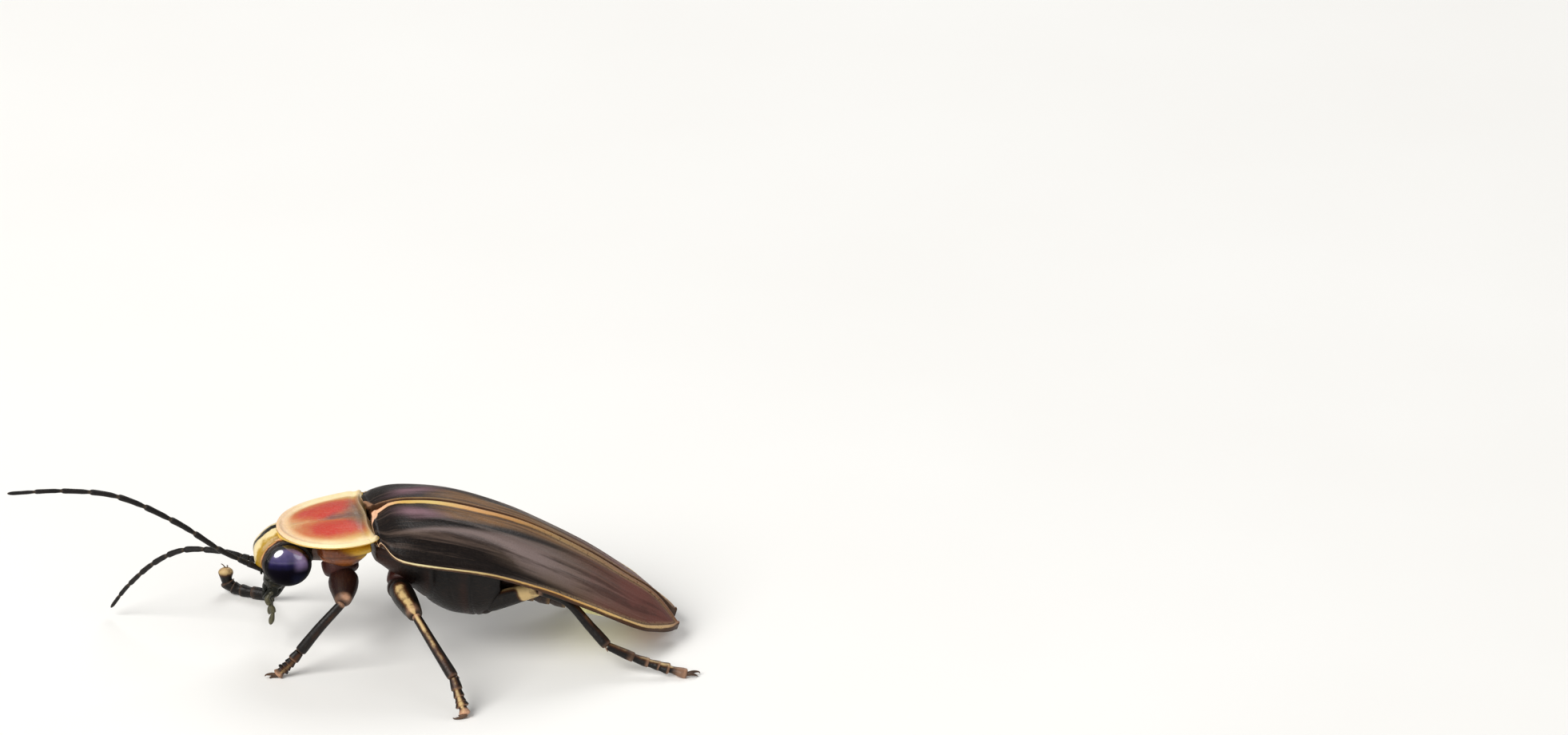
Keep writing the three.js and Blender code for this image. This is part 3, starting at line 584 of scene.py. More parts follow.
def wingLook():
    # Brown-black shell: long bands down it, one of them a painted mauve sheen at the front, redder toward the
    # tip, a pale border with painted shade in the groove inside it and on the far seam, short lying hair
    look, tree, shader = newLook("wingCaseShell", Specular_IOR_Level=0.16)
    grain = useGroup(tree, cuticle, Vector=placeOf(tree), Grain=15.0, Cloud=0.8)
    down = useGroup(tree, lyingDown, Vector=lieOf(tree), Scale=3.6)
    length, border, across = mark(tree, "down"), mark(tree, "border"), mark(tree, "across")
    wander = calc(tree, "SUBTRACT", grain["Shade"], 0.5)
    threads = calc(tree, "SUBTRACT", down["Height"], 0.5)
    strokes = noise(tree, stretched(tree, lieOf(tree), (0.16, 2.6, 1.0)), 1.0, 5.0, 0.62, 0.4)

    def band(name, strength, ragged=0.3):
        # A streak from its mark, broken up by the cloudy shade and by the lying hairs
        value = plus(tree, mark(tree, name), times(tree, wander, ragged))
        value = plus(tree, value, times(tree, threads, ragged * 2.5))
        value = times(tree, value, strength, clamp=True)
        return times(tree, value, spread(tree, mark(tree, name), 0.02, 0.25))

    rosy = times(tree, spread(tree, length, 0.58, 0.86), spread(tree, grain["Shade"], 0.2, 0.8, 0.3, 0.75))
    shell = ramp(tree, length, {0: "1c1513", 0.3: "2a211e", 0.48: "44382f", 0.64: "5a4838", 0.82: "624238",
                                1: "6a4038"})
    shell = layered(
        tree, shell,
        # the mauve band is a painted sheen
        (band("tan", 0.9), "8a6238"), (band("mauve", 0.95), "7e5c66"), (band("pale", 0.9, 0.25), "8c7a76"),
        (band("dark", 1.1, 0.2), "0e0908"),
        (spread(tree, strokes, 0.5, 0.36, 0.0, 0.6), "1a110e"),  # long fine strokes, dark and then pale
        (spread(tree, strokes, 0.52, 0.68, 0.0, 0.35), "8a7468"),
        (times(tree, grain["Shade"], 0.2), "1c1412"),
        (times(tree, down["Streaks"], 0.1), "7c6a56"),
        (times(tree, rosy, 0.6), "7d443c"))
    edge = plus(tree, border, times(tree, wander, 0.2))  # below 1 on the pale border
    seamGold = ramp(tree, length, {0: "ecb896", 0.06: "e2b288", 0.11: "d8b060", 0.2: "dcc078", 0.32: "dba66a",
                                   0.45: "c08c52", 0.62: "a08258", 0.8: "94745a", 1: "7d5a44"})
    marginCream = ramp(tree, length, {0: "d8b390", 0.12: "ddd0a0", 0.4: "b89a62", 0.6: "cf9c58",
                                      0.8: "ddb878", 0.96: "d0ad80", 1: "8a6250"})
    # painted shade: the far case's seam bead darkened to brown
    seamGold = tint(tree, times(tree, mark(tree, "mellow"), 0.8), seamGold, "6e4c30")
    speckled = times(tree, spread(tree, grain["Height"], 0.5, 0.2), spread(tree, length, 0.4, 0.6))
    pale = layered(
        tree, seamGold,
        (spread(tree, across, 0.3, 0.6), marginCream),
        (times(tree, speckled, 0.6), "3c2c20"),
        (spread(tree, edge, 0.3, 0.06), "4c3220"))
    granules = times(tree, spread(tree, grain["Height"], 0.3, 0.6), spread(tree, length, 0.45, 0.62))
    tanEdge = times(tree, granules, spread(tree, edge, 2.6, 1.0))
    # painted shade: a dark brown line in the groove just inside the pale border
    grooveShade = times(tree, spread(tree, edge, 1.0, 1.25), spread(tree, edge, 1.9, 1.3))
    colour = layered(
        tree, shell,
        (times(tree, tanEdge, 0.75), "a98f6c"),
        (times(tree, grooveShade, 0.55), "2a190f"),
        (spread(tree, edge, 1.12, 0.86), pale),
        (mark(tree, "under"), "3c281c"))
    finishLook(tree, shader, colour, (0.34, 0.55), (grain, 0.008), (down, 0.003))
    return look


shellLook = wingLook()
for word, side in sides.items():
    makePiece("wingCase" + word.title(), [wingCase(side)], [shellLook], "wing_case_" + word)


# The pronotum

def shieldHalf(x):
    # Half width: a half-round nose over its share of the length, then nearly straight sides
    u = np.clip((x - shield["frontX"]) / (shield["rearX"] - shield["frontX"]), 0, 1)
    nose = np.minimum(u / shield["noseShare"], 1)
    rounded = (1 - (1 - nose) ** shield["roundness"]) ** (1 / shield["roundness"])
    behind = np.maximum((u - shield["noseShare"]) / (1 - shield["noseShare"]), 0)
    return np.maximum(shield["halfWidth"] * rounded * (1 - shield["rearRound"] * behind ** 3), 0.02)


def shieldTop(x, across):
    # Height: the rim's height plus the dome, which falls off by |across| to the dome power
    return lerp(shield["edgeZ"](x), shield["midZ"](x), 1 - np.abs(across) ** shield["dome"])


def turned(points):
    # The shield's points, turned about an upright line through the pivot
    x, y = shield["pivot"]
    dx, dy = points[..., 0] - x, points[..., 1] - y
    c, s = math.cos(shield["turn"]), math.sin(shield["turn"])
    return np.stack([x + c * dx - s * dy, y + s * dx + c * dy, points[..., 2]], -1)


def borderDistance(points, border):
    # Shortest straight distance from every grid point to a line of border points, a few points at a time
    border = border[None].astype(np.float32)
    parts = np.array_split(points.reshape(-1, 3).astype(np.float32), 24)
    best = [np.min(((part[:, None] - border) ** 2).sum(-1), 1) for part in parts]
    return np.sqrt(np.concatenate(best)).reshape(points.shape[:2]).astype(float)


def pronotum():
    # x from nose to rear and y across by a sine; height is the dome plus rim, discs and midline
    u = 1 - np.cos(np.linspace(0.02, 1, shield["rows"]) * math.pi / 2)[:, None]
    u = (u - u[0]) / (u[-1] - u[0])
    across = np.sin(np.linspace(-1, 1, shield["columns"]) * math.pi / 2)[None, :]
    x = lerp(shield["frontX"], shield["rearX"], u) + 0 * across
    y = shieldHalf(x) * across
    top = np.stack([x, y, shieldTop(x, across + 0 * x)], -1)
    rearArc = shield["corner"] * np.abs(across) ** 7 - shield["hollow"] * bell(np.abs(across), 0.5, 0.3)
    top[..., 0] += rearArc * ease(u, 0.75, 1)
    fromRim = borderDistance(top, np.concatenate([top[::-1, 0], top[:, -1]]))
    fromRear = top[-1:, :, 0] - top[..., 0]
    height = mounds(x, y, shield["mounds"]) + mounds(x, -y, shield["mounds"])
    inFront = ease(x, *shield["midlineX"])
    for key, distance, share in (("lip", fromRim, 1), ("gutter", fromRim, 1), ("rearDip", fromRear, 1),
                                 ("rearBead", fromRear, 1), ("midline", y, inFront)):
        tall, place, width = shield[key]
        height = height + tall * bell(distance, place, width) * share
    height = height * ease(np.minimum(fromRim, fromRear + 0.03), 0, 0.06)
    drop = np.maximum(lip(fromRim, shield["edgeRadius"]), lip(fromRear, shield["rearRadius"]))
    upper = top + upwardOf(top) * height[..., None] - upright * drop[..., None]
    depth = lerp(shield["thickness"], shield["edgeThickness"], across ** 2) * lerp(0.8, 1, ease(u, 0, 0.25))
    kept = fewColumns(across.size, shield["underColumns"])
    lower = (top - upright * (depth - drop)[..., None])[:, kept]
    placeX, placeY, long, wide = shield["patch"]
    outward = np.abs(y) - placeY
    wideAt = lerp(*shield["streakHalf"], ease(x, -2.8, -1.2) ** 1.5)
    marks = {"rim": fromRim, "rearEdge": fromRear, "forward": u + 0 * across,
             "blush": np.hypot((x - placeX - shield["patchSlant"] * outward) / long, outward / wide),
             "streak": np.abs(y - shield["streakY"]) / wideAt + 2 * (1 - ease(x, *shield["streakX"]))}
    return skin(turned(np.concatenate([upper, lower], 1)), bothFaces(marks, kept))


def shieldLook():
    # Cream rim, warm yellow field redder in two patches, a dusky streak down the middle, and painted dusky
    # shade along the rear
    look, tree, shader = newLook(
        "pronotumShell", Specular_IOR_Level=0.45, Coat_Weight=0.1, Coat_Roughness=0.28,
        Subsurface_Weight=0.12, Subsurface_Scale=0.2 * mm, Subsurface_Radius=(1.0, 0.6, 0.3))
    place = placeOf(tree)
    grain = useGroup(tree, cuticle, Vector=place, Grain=13.0, Cloud=1.1)
    down = useGroup(tree, lyingDown, Vector=place, Scale=2.6)
    wander = calc(tree, "SUBTRACT", grain["Shade"], 0.5)
    rim, rearEdge, forward = mark(tree, "rim"), mark(tree, "rearEdge"), mark(tree, "forward")

    def ragged(name, amount, low, high):
        # A mark's place shifted by the cloudy shade, then cut between two values
        return spread(tree, plus(tree, mark(tree, name), times(tree, wander, amount)), low, high)

    # painted shade: dusky toward the rear edge, around the middle
    rearShade = times(tree, spread(tree, rearEdge, 0.9, 0.15), spread(tree, mark(tree, "streak"), 4.2, 0.8))
    field = ramp(tree, forward, {0: "cf9c6a", 0.3: "e0bc86", 0.7: "e2bc78", 1: "c9a45c"})
    field = layered(
        tree, field,
        (ragged("blush", 0.25, 1.8, 1.15), "c96c38"),
        (ragged("blush", 0.3, 1.3, 0.75), "c42e20"),
        (times(tree, ragged("streak", 0.8, 2.4, 0.0), 0.9), "5e3c46"),
        (times(tree, rearShade, 0.85), "65543f"))
    cream = tint(tree, spread(tree, forward, 0.0, 0.5), "ecc9a0", "f6e3b4")
    below = tint(tree, spread(tree, rim, 0.5, 0.2), "dd9a2e", "f0c65c")
    colour = layered(
        tree, field,
        (ragged("rim", 0.08, 0.62, 0.26), cream),
        (times(tree, spread(tree, rearEdge, 0.2, 0.06), 0.55), tint(tree, 0.5, "cdb27c", "8d7a62")),
        (times(tree, down["Streaks"], 0.12), "fff2cf"),
        (times(tree, grain["Shade"], 0.14), "b9772f"),
        (mark(tree, "under"), below))
    finishLook(tree, shader, colour, (0.34, 0.55), (grain, 0.012), (down, 0.01))
    return look


makePiece("pronotumShield", [pronotum()], [shieldLook()], "pronotum")


# The scutellum

def scutellumSkin():
    # A rounded triangle: at each x a squared oval, as wide as the triangle there and as deep as the plate
    rearX = scutellum["frontX"] + scutellum["length"] - scutellum["gap"]
    x = lerp(scutellum["frontX"], rearX, crowded(60, 0.7))
    half = np.maximum(scutellumHalf(x), 0.03) * drawnIn(x - x[0], 0.04, 0.03)
    c, s = squarish(around(64), scutellum["power"])
    y, upper = half[:, None] * c[None], s[None] > 0
    z = (wing["backZ"](x) + scutellum["rise"])[:, None] - scutellum["thickness"] / 2 * (1 - s[None])
    z = z - (0.1 * c[None] ** 2 + 0.03 * bell(y, 0, 0.12)) * upper  # falling sides, a faint middle hollow
    return skin(slanted(np.stack([x[:, None] + 0 * z, y, z], -1)))


def warmLook(name, low, high, dark, grainSize=14.0, shine=0.3, gleam=0.5):
    # Plain cuticle: cloudy between two colours, darker in the pits
    look, tree, shader = newLook(name, Specular_IOR_Level=gleam, Coat_Weight=0.3 * gleam, Coat_Roughness=0.25)
    grain = useGroup(tree, cuticle, Vector=placeOf(tree), Grain=grainSize, Cloud=1.6)
    colour = tint(tree, grain["Shade"], low, high)
    colour = tint(tree, spread(tree, grain["Height"], 0.45, 0.2), colour, dark)
    finishLook(tree, shader, colour, (shine, shine + 0.2), (grain, 0.012))
    return look


makePiece("scutellumPlate", [scutellumSkin()], [warmLook("scutellumShell", "8a4a28", "a8663a", "4a2414")],
          "scutellum")


# The body under the shells

body = {
    "thoraxX": (-1.04, 3.76),
    "thoraxSide": along([[-0.94, 1.3], [0.3, 1.75], [1.8, 2], [3.1, 1.98], [3.72, 1.85]]),
    "thoraxBottom": along([[-0.94, 3.75], [0, 3.06], [0.66, 2.4], [1.26, 1.88], [1.9, 1.56], [2.7, 1.47],
                           [3.3, 1.6], [3.72, 1.9]]),
    "prothoraxX": (-3.1, -1.1),
    "prothoraxSide": along([[-3.02, 1.12], [-2.2, 1.45], [-1.1, 1.5]]),
    "prothoraxBottom": along([[-3.02, 3.9], [-2.3, 3.64], [-1.7, 3.78], [-1.1, 4.4]]),
    "abdomenSide": along([[3.87, 1.5], [5.3, 1.72], [7, 1.74], [8.3, 1.46], [9.2, 1.12], [9.85, 0.7]]),
    "abdomenBottom": along([[3.87, 2.02], [5.3, 1.78], [7.2, 1.3], [8.75, 0.76], [9.85, 0.42]]),
    "bellyX": (3.74, 6.1, 7.6, 8.82, 9.9),  # where belly, two lanterns and tail begin, and the end
    "bellyRings": 4,
    "squareness": {"thorax": 0.75, "prothorax": 0.8, "belly": 0.72},  # powers of the squared ovals
    "ringInset": 0.075,
    "gap": 0.15,  # between the body's solid and the shells
    "closer": 0.1,  # how far the body reaches up toward the shells past its solid
    # swellings over the hips: height, place and width along X, then along Y
    "hipMounds": ((1.0, -0.05, 0.5, 0.95, 0.5), (1.0, 2.9, 0.4, 0.9, 0.6)),
    "hipSwell": 0.09, "sunkDepth": 0.05, "keel": 0.08,
    # lines across the thorax, sunk and pale: strength, place along X, shift with |y|, width
    "sunkLines": ((1, 0.62, 0.25, 0.07), (1, 3.1, -0.3, 0.06)),
    "paleLines": ((0.3, 2.86, -0.3, 0.16), (0.2, 0.42, 0.25, 0.14)),
}


def bodyRings(x, side, bottom, ceiling, power, facets, inset=0.0):
    # At each x a squared oval from the belly line up to a ceiling, planed where it would pass the ceiling
    x = np.asarray(x, float)[:, None]
    inset = np.broadcast_to(inset, x.shape[:1])[:, None]
    half, low = side(x) - inset, bottom(x) + inset
    tall = (ceiling(x, 0 * x) - inset - low) / 2
    a = around(facets, 0.5)[None]
    c, s = squarish(a, power)
    y = half * c
    z = np.minimum(low + tall * (1 + s), ceiling(x, y) - inset)
    return np.stack([x + 0 * y, y, z], -1), np.sin(a) + 0 * x


def underWings(x, y):
    # The ceiling of the hind body: the inner face of the wing cases less the gap
    lean = np.hypot(1, (wing["backZ"](x + 0.1) - wing["backZ"](x - 0.1)) / 0.2)
    thickness = wingThickness(x, np.abs(y) / wing["halfWidth"](x))
    return backTop(x, y) - (thickness + body["gap"]) * lean + body["closer"]


def underShield(x, y):
    # The ceiling of the front body: the shield's top less its thickness and the gap
    across = np.minimum(np.abs(y) / shieldHalf(x), 1)
    return shieldTop(x, across) - shield["thickness"] - body["gap"] + body["closer"]


def crossLines(x, wide, table):
    # Sum of strength * bell along x, each line's place moved by its shift times |y|
    return sum(power * bell(x - shift * wide, place, width) for power, place, shift, width in table)


def thoraxSkin():
    # Breast of the middle and hind body: plates parted by sunk lines, hip bulges at the roots of the legs
    x = lerp(*body["thoraxX"], crowded(150, 0.4))
    power = body["squareness"]["thorax"]
    rings, rise = bodyRings(x, body["thoraxSide"], body["thoraxBottom"], underWings, power, 128)
    xx, y, z = rings[..., 0], rings[..., 1], rings[..., 2]
    wide, low, flank = np.abs(y), ease(-rise, -0.2, 0.6), np.abs(y) > 0.8
    sunk = crossLines(xx, wide, body["sunkLines"])
    sunk = sunk + 0.8 * bell(z, lerp(4.3, 3.0, (xx + 1) / 4.8), 0.06) * flank  # one along the flank
    sunk = sunk + 0.6 * bell(xx, 1.75 - 0.2 * (z - 3), 0.05) * (z > 2.6) * flank  # one up the flank
    sunk = sunk + 0.7 * bell(y, 0, 0.05) * low * (xx > 0.9)  # the midline
    sunk = np.clip(sunk, 0, 1)
    swell = mounds(xx, wide, body["hipMounds"]) * low
    hind = 0.7 * (1 - ease(xx, -0.9, 0.3)) + 0.3 * swell + crossLines(xx, wide, body["paleLines"])
    rings = carve(rings, body["hipSwell"] * swell - body["sunkDepth"] * sunk)
    return skin(slanted(roundOff(rings, x, 0.12, 0.12)), {"sunk": sunk, "hind": np.clip(hind, 0, 1)})


def prothoraxSkin():
    # Front breast: yellow flanks under the rim, a sunk line between flank and breast, a keel between the hips
    x = lerp(*body["prothoraxX"], crowded(90, 0.5))
    power = body["squareness"]["prothorax"]
    rings, rise = bodyRings(x, body["prothoraxSide"], body["prothoraxBottom"], underShield, power, 112)
    xx, y, z = rings[..., 0], rings[..., 1], rings[..., 2]
    seam = bell(z, 4.28 + 0.12 * (xx + 2), 0.05) * (np.abs(y) > 0.6)
    keel = bell(y, 0, 0.14) * ease(-rise, 0.3, 0.9)
    rings = carve(rings, body["keel"] * keel - body["sunkDepth"] * seam + 0.05 * bell(z, 4.6, 0.16))
    flank = ease(z - 0.45 * (-1.3 - xx), 3.95, 4.3) * ease(xx, -2.9, -2.1)
    return skin(turned(roundOff(rings, x, 0.2, 0.1)), {"flank": flank, "sunk": seam})


def sternites(startX, endX, count):
    # Belly plates in a row: each starts sunk under the one before and swells to a thin lip over the next
    parts = []
    for i in range(count):
        a0, a1 = lerp(startX, endX, i / count), lerp(startX, endX, (i + 1) / count)
        x = lerp(a0 - 0.06, a1 + 0.05, crowded(44, 0.8))
        t = (x - a0) / (a1 - a0)
        inset = body["ringInset"] * (1 - ease(t, -0.1, 0.45)) + 0.012 * ease(t, 0.8, 1.0)
        power = body["squareness"]["belly"]
        rings, rise = bodyRings(x, body["abdomenSide"], body["abdomenBottom"], underWings, power, 112, inset)
        fold = bell(rise, 0.25, 0.1)
        pore = bell(x[:, None], lerp(a0, a1, 0.35), 0.05) * bell(rise, 0.02, 0.06)
        rings = carve(rings, -0.05 * fold - 0.05 * pore + 0.012 * bell(rings[..., 1], 0, 0.4))
        marks = {"hind": ease(t, 0.7, 0.98)[:, None] + 0 * rise, "pore": pore, "upper": ease(rise, 0.2, 0.5)}
        parts.append(skin(roundOff(rings, x, 0.05, 0.05), marks))
    return parts


def tailSkin():
    # Last plate: as the others, then closed to a blunt rounded tip
    x = lerp(*body["bellyX"][3:], crowded(60, 0.9))
    inset = body["ringInset"] * (1 - ease(x, 8.75, 9.2))
    power = body["squareness"]["belly"]
    rings, rise = bodyRings(x, body["abdomenSide"], body["abdomenBottom"], underWings, power, 96, inset)
    return skin(roundOff(rings, x, 0.06, 0.34), {"upper": 0.3 * ease(rise, 0.2, 0.5)})


def darkLook(name, low, high, edge, hairs, hairShare):
    # Dark glossy cuticle: sunk lines and pits darker, hind edges paler, thin lying hair
    look, tree, shader = newLook(name, Specular_IOR_Level=0.22, Coat_Weight=0.06, Coat_Roughness=0.22)
    grain = useGroup(tree, cuticle, Vector=placeOf(tree), Grain=12.0, Cloud=1.4)
    down = useGroup(tree, lyingDown, Vector=lieOf(tree), Scale=3.0)
    sunk = plus(tree, mark(tree, "sunk"), mark(tree, "pore"), clamp=True)
    colour = layered(
        tree, tint(tree, grain["Shade"], low, high),
        (times(tree, mark(tree, "hind"), 0.6), edge),
        (times(tree, sunk, 0.7), "080505"),
        (times(tree, down["Streaks"], hairShare), hairs))
    finishLook(tree, shader, colour, (0.3, 0.52), (grain, 0.01), (down, 0.01))
    return look


def flankLook():
    # Front breast: bright yellow flank above, rust below, darker in the line between
    look, tree, shader = newLook("breastShell", Specular_IOR_Level=0.5, Coat_Weight=0.2, Coat_Roughness=0.22)
    grain = useGroup(tree, cuticle, Vector=placeOf(tree), Grain=13.0, Cloud=1.5)
    colour = layered(
        tree, tint(tree, grain["Shade"], "5a2a12", "8a4c1c"),
        (mark(tree, "flank"), tint(tree, grain["Shade"], "c4900f", "d8ae2c")),
        (times(tree, mark(tree, "sunk"), 0.7), "4a2410"))
    finishLook(tree, shader, colour, (0.28, 0.5), (grain, 0.012))
    return look


def lanternLook(name, low, high, edge):
    # Light organ: waxy and pale under a clear skin, dusky toward its upper side
    look, tree, shader = newLook(
        name, Specular_IOR_Level=0.5, Coat_Weight=0.35, Coat_Roughness=0.12,
        Subsurface_Weight=0.25, Subsurface_Scale=0.3 * mm, Subsurface_Radius=(1.0, 0.9, 0.4))
    grain = useGroup(tree, cuticle, Vector=placeOf(tree), Grain=9.0, Cloud=2.4)
    colour = layered(
        tree, tint(tree, grain["Shade"], low, high),
        (times(tree, mark(tree, "upper"), 0.85), "3b2a1e"),
        (times(tree, mark(tree, "hind"), 0.5), edge))
    finishLook(tree, shader, colour, (0.25, 0.42), (grain, 0.008))
    return look


chitinLook = darkLook("darkChitin", "080505", "140d0a", "4a2416", "6a4c34", 0.08)
bellyLook = darkLook("bellyShell", "1c120f", "33201a", "8a683e", "8a6f4c", 0.12)
glow = lanternLook("lanternShell", "dcd48c", "ece6ae", "f4efc8")
tailLook = lanternLook("tailShell", "c27a2e", "da9a45", "e8bd74")
beginX, frontLanternX, rearLanternX, tailX = body["bellyX"][:4]
makePiece("thoraxPlates", [thoraxSkin()], [chitinLook], "thorax")
makePiece("prothoraxPlates", [prothoraxSkin()], [flankLook()], "prothorax")
belly = sternites(beginX, frontLanternX, body["bellyRings"])
makePiece("abdomenPlates", belly, [bellyLook], "abdomen")
frontLantern = sternites(frontLanternX + 0.02, rearLanternX, 1)
makePiece("lanternFront", frontLantern, [glow], "lantern_front")
makePiece("lanternRear", sternites(rearLanternX, tailX, 1), [glow], "lantern_rear")
makePiece("tailTip", [tailSkin()], [tailLook], "tail_tip")


# The head

head = {
    "levels": (2.34, 5.04),
    "frontX": along([[2.34, -4.98], [2.42, -5.0], [2.66, -5.1], [3.12, -5.17], [3.4, -5.32], [3.82, -5.52],
                     [4.29, -5.48], [4.7, -5.14], [4.9, -4.9], [5.04, -4.66]]),
    "rearX": along([[2.34, -4.66], [2.42, -4.62], [2.8, -4.2], [3.3, -3.6], [3.9, -3.2], [4.6, -3.2],
                    [5.04, -3.7]]),
    "half": along([[2.34, 0.34], [2.42, 0.36], [2.8, 0.55], [3.3, 0.82], [3.9, 1.02], [4.4, 0.98],
                   [4.8, 0.72], [5.04, 0.36]]),
    "squareness": 0.85,
    # groove down the face, the knobs under the feelers, the lip: height, place and width across, then up Z
    "mounds": ((-0.07, 0, 0.16, 3.75, 0.45), (0.05, 0.36, 0.16, 3.62, 0.12), (0.04, 0, 0.3, 2.78, 0.12)),
    "lipLine": (-0.05, 2.98, 0.035),  # the seam over the lip: height, place and width up Z
    "eyeRim": (0.05, 0.07, 0.05), "eyeMoat": (-0.04, 0.2, 0.06),  # height, distance from the eye, width
    "socket": (-5.25, 0.36, 3.4), "socketRing": (0.15, 0.045),  # a feeler's root, its ring and thickness
    "neck": [(-3.7, 0, 4.1), (-3.3, 0, 4.12), (-2.8, 0, 4.15)],
}
eye = {"x": -4.26, "y": 0.86, "z": 3.78, "radius": 0.85, "depth": 0.5, "rows": 110, "facets": 160,
       "lens": 0.03, "rim": 0.04}
# the mouth's parts on one side and in the middle: path, radii along it, facets, rows, flatness, rounded ends
mouth = {
    "sickle": ([(-4.86, 0.34, 2.62), (-5.02, 0.32, 2.36), (-5.14, 0.16, 2.14), (-5.16, -0.06, 2.02)],
               [[0, 0.13], [0.4, 0.1], [0.8, 0.055], [1, 0.02]], 16, 30, 0.8, (0.05, 0.03)),
    "cheek": ([(-4.74, 0.3, 2.66), (-4.8, 0.34, 2.4), (-4.84, 0.3, 2.22)],
              [[0, 0.17], [0.6, 0.14], [1, 0.08]], 16, 24, 1.1, (0.05, 0.08)),
    "lobe": ([(-4.86, 0.2, 2.5), (-4.95, 0.2, 2.26), (-4.98, 0.15, 2.12)],
             [[0, 0.08], [0.7, 0.07], [1, 0.03]], 12, 18, 1.0, (0.04, 0.04)),
    "upperLip": ([(-4.98, 0, 2.72), (-5.12, 0, 2.52), (-5.14, 0, 2.36)],
                 [[0, 0.3], [0.6, 0.26], [1, 0.14]], 28, 26, 0.3, (0.06, 0.08), (-1, 0, 0.4), 0.8),
    "chin": ([(-4.55, 0, 2.5), (-4.66, 0, 2.3), (-4.76, 0, 2.16)],
             [[0, 0.26], [0.6, 0.2], [1, 0.1]], 20, 22, 0.5, (0.08, 0.06), (-1, 0, 0.2), 0.8),
}


def headSkin():
    # Squared ovals stacked up Z, from the front line to the rear line; rims, groove, knobs and lip are carved
    z = lerp(*head["levels"], crowded(150, 0.45))
    c, s = squarish(around(160, 0.5)[None], head["squareness"])
    front, rear, half = (head[key](z)[:, None] for key in ("frontX", "rearX", "half"))
    close = drawnIn(z - z[0], 0.16, 0.1)[:, None]
    x = (front + rear) / 2 - (rear - front) / 2 * c * close
    y = half * s * close
    level, wide = z[:, None] + 0 * x, np.abs(y)
    toEye = np.hypot(x - eye["x"], level - eye["z"])
    amount = mounds(wide, level, head["mounds"])
    amount = amount + head["lipLine"][0] * bell(level, *head["lipLine"][1:])
    amount = amount * ease(-x, 4.5, 4.9)
    for tall, distance, width in (head["eyeRim"], head["eyeMoat"]):
        amount = amount + tall * bell(toEye, eye["radius"] + distance, width) * ease(wide, 0.3, 0.6)
    marks = {"toEye": toEye, "midline": wide, "level": level, "ahead": -x}
    return skin(carve(np.stack([x, y, level], -1), amount), marks)


def ringRidge(centre, axis, radius, thick, count=64, facets=12):
    # A torus as a tube round a circle, whose first and last rings meet
    axis = unit(np.asarray(axis, float))
    flatA = unit(np.cross(axis, [0.3, 0.2, 1.0]))
    flatB = np.cross(axis, flatA)
    a = np.linspace(0, 2 * math.pi, count + 1)[:, None]
    outward = np.cos(a) * flatA + np.sin(a) * flatB
    side = np.cross(np.cos(a) * flatB - np.sin(a) * flatA, axis)
    b = around(facets)[None, :, None]
    path = np.asarray(centre, float) + radius * outward
    return skin(path[:, None] + thick * np.cos(b) * side[:, None] + thick * np.sin(b) * axis, {}, 1)


def limbPart(points, radii, facets=18, rows=30, flat=1.0, rounds=(0.06, 0.06), lean=upright, power=1.0,
             material=0, marks=None):
    # One joint of a limb: radius from a table of [share, radius] along a smooth path, rounded at both ends
    path = pathThrough(points, rows, 0.8)
    run = runOf(path)
    share = run / run[-1]
    radius = along(radii)(share) * drawnIn(run, *rounds)
    values = {}
    for key, value in (marks or {}).items():
        values[key] = value(share)[:, None] if callable(value) else value
    return skin(tube(path, radius, radius * flat, facets, lean, power), values, material)


def mouthSkins():
    # Two crossed sickle jaws, cheeks and lobes on both sides, then the upper lip and the chin, below the face
    parts = []
    for side in sides.values():
        for name in ("sickle", "cheek", "lobe"):
            path, *rest = mouth[name]
            parts.append(limbPart([(x, side * y, z) for x, y, z in path], *rest, material=1))
    return parts + [limbPart(*mouth[name], material=1) for name in ("upperLip", "chin")]


def faceLook():
    # Face: pale brown and yellow rings round the eye, near-black down the middle and below toward the mouth
    look, tree, shader = newLook("faceShell", Coat_Weight=0.08, Coat_Roughness=0.2)
    place = placeOf(tree)
    grain = useGroup(tree, cuticle, Vector=place, Grain=14.0, Cloud=1.8)
    down = useGroup(tree, lyingDown, Vector=place, Scale=3.2)
    wander = times(tree, calc(tree, "SUBTRACT", grain["Shade"], 0.5), 0.1)
    toEye = plus(tree, mark(tree, "toEye"), wander)
    yellow = ramp(tree, spread(tree, toEye, 0.8, 1.5), {
        0: "140d0c", 0.12: "3a241c", 0.17: "b97d4e", 0.22: "c89660", 0.28: "94700f", 0.56: "a98416",
        0.68: "e3cf98", 0.8: "e8d6a6", 1: "c3a868"})
    middle = spread(tree, plus(tree, mark(tree, "midline"), wander), 0.1, 0.19)
    top = spread(tree, plus(tree, mark(tree, "level"), wander), 3.36, 3.62)
    bright = times(tree, times(tree, middle, top), spread(tree, mark(tree, "ahead"), 4.0, 4.4))
    low = spread(tree, mark(tree, "level"), 3.3, 2.9)
    colour = layered(
        tree, tint(tree, grain["Shade"], "0f110d", "1e1b16"),
        (bright, yellow),
        (times(tree, low, 0.85), "0e1009"),
        (times(tree, down["Streaks"], 0.08), "b9a27a"))
    tree.links.new(spread(tree, bright, 0.0, 1.0, 0.12, 0.5), shader["Specular IOR Level"])
    finishLook(tree, shader, colour, (0.25, 0.45), (grain, 0.01), (down, 0.008))
    return look


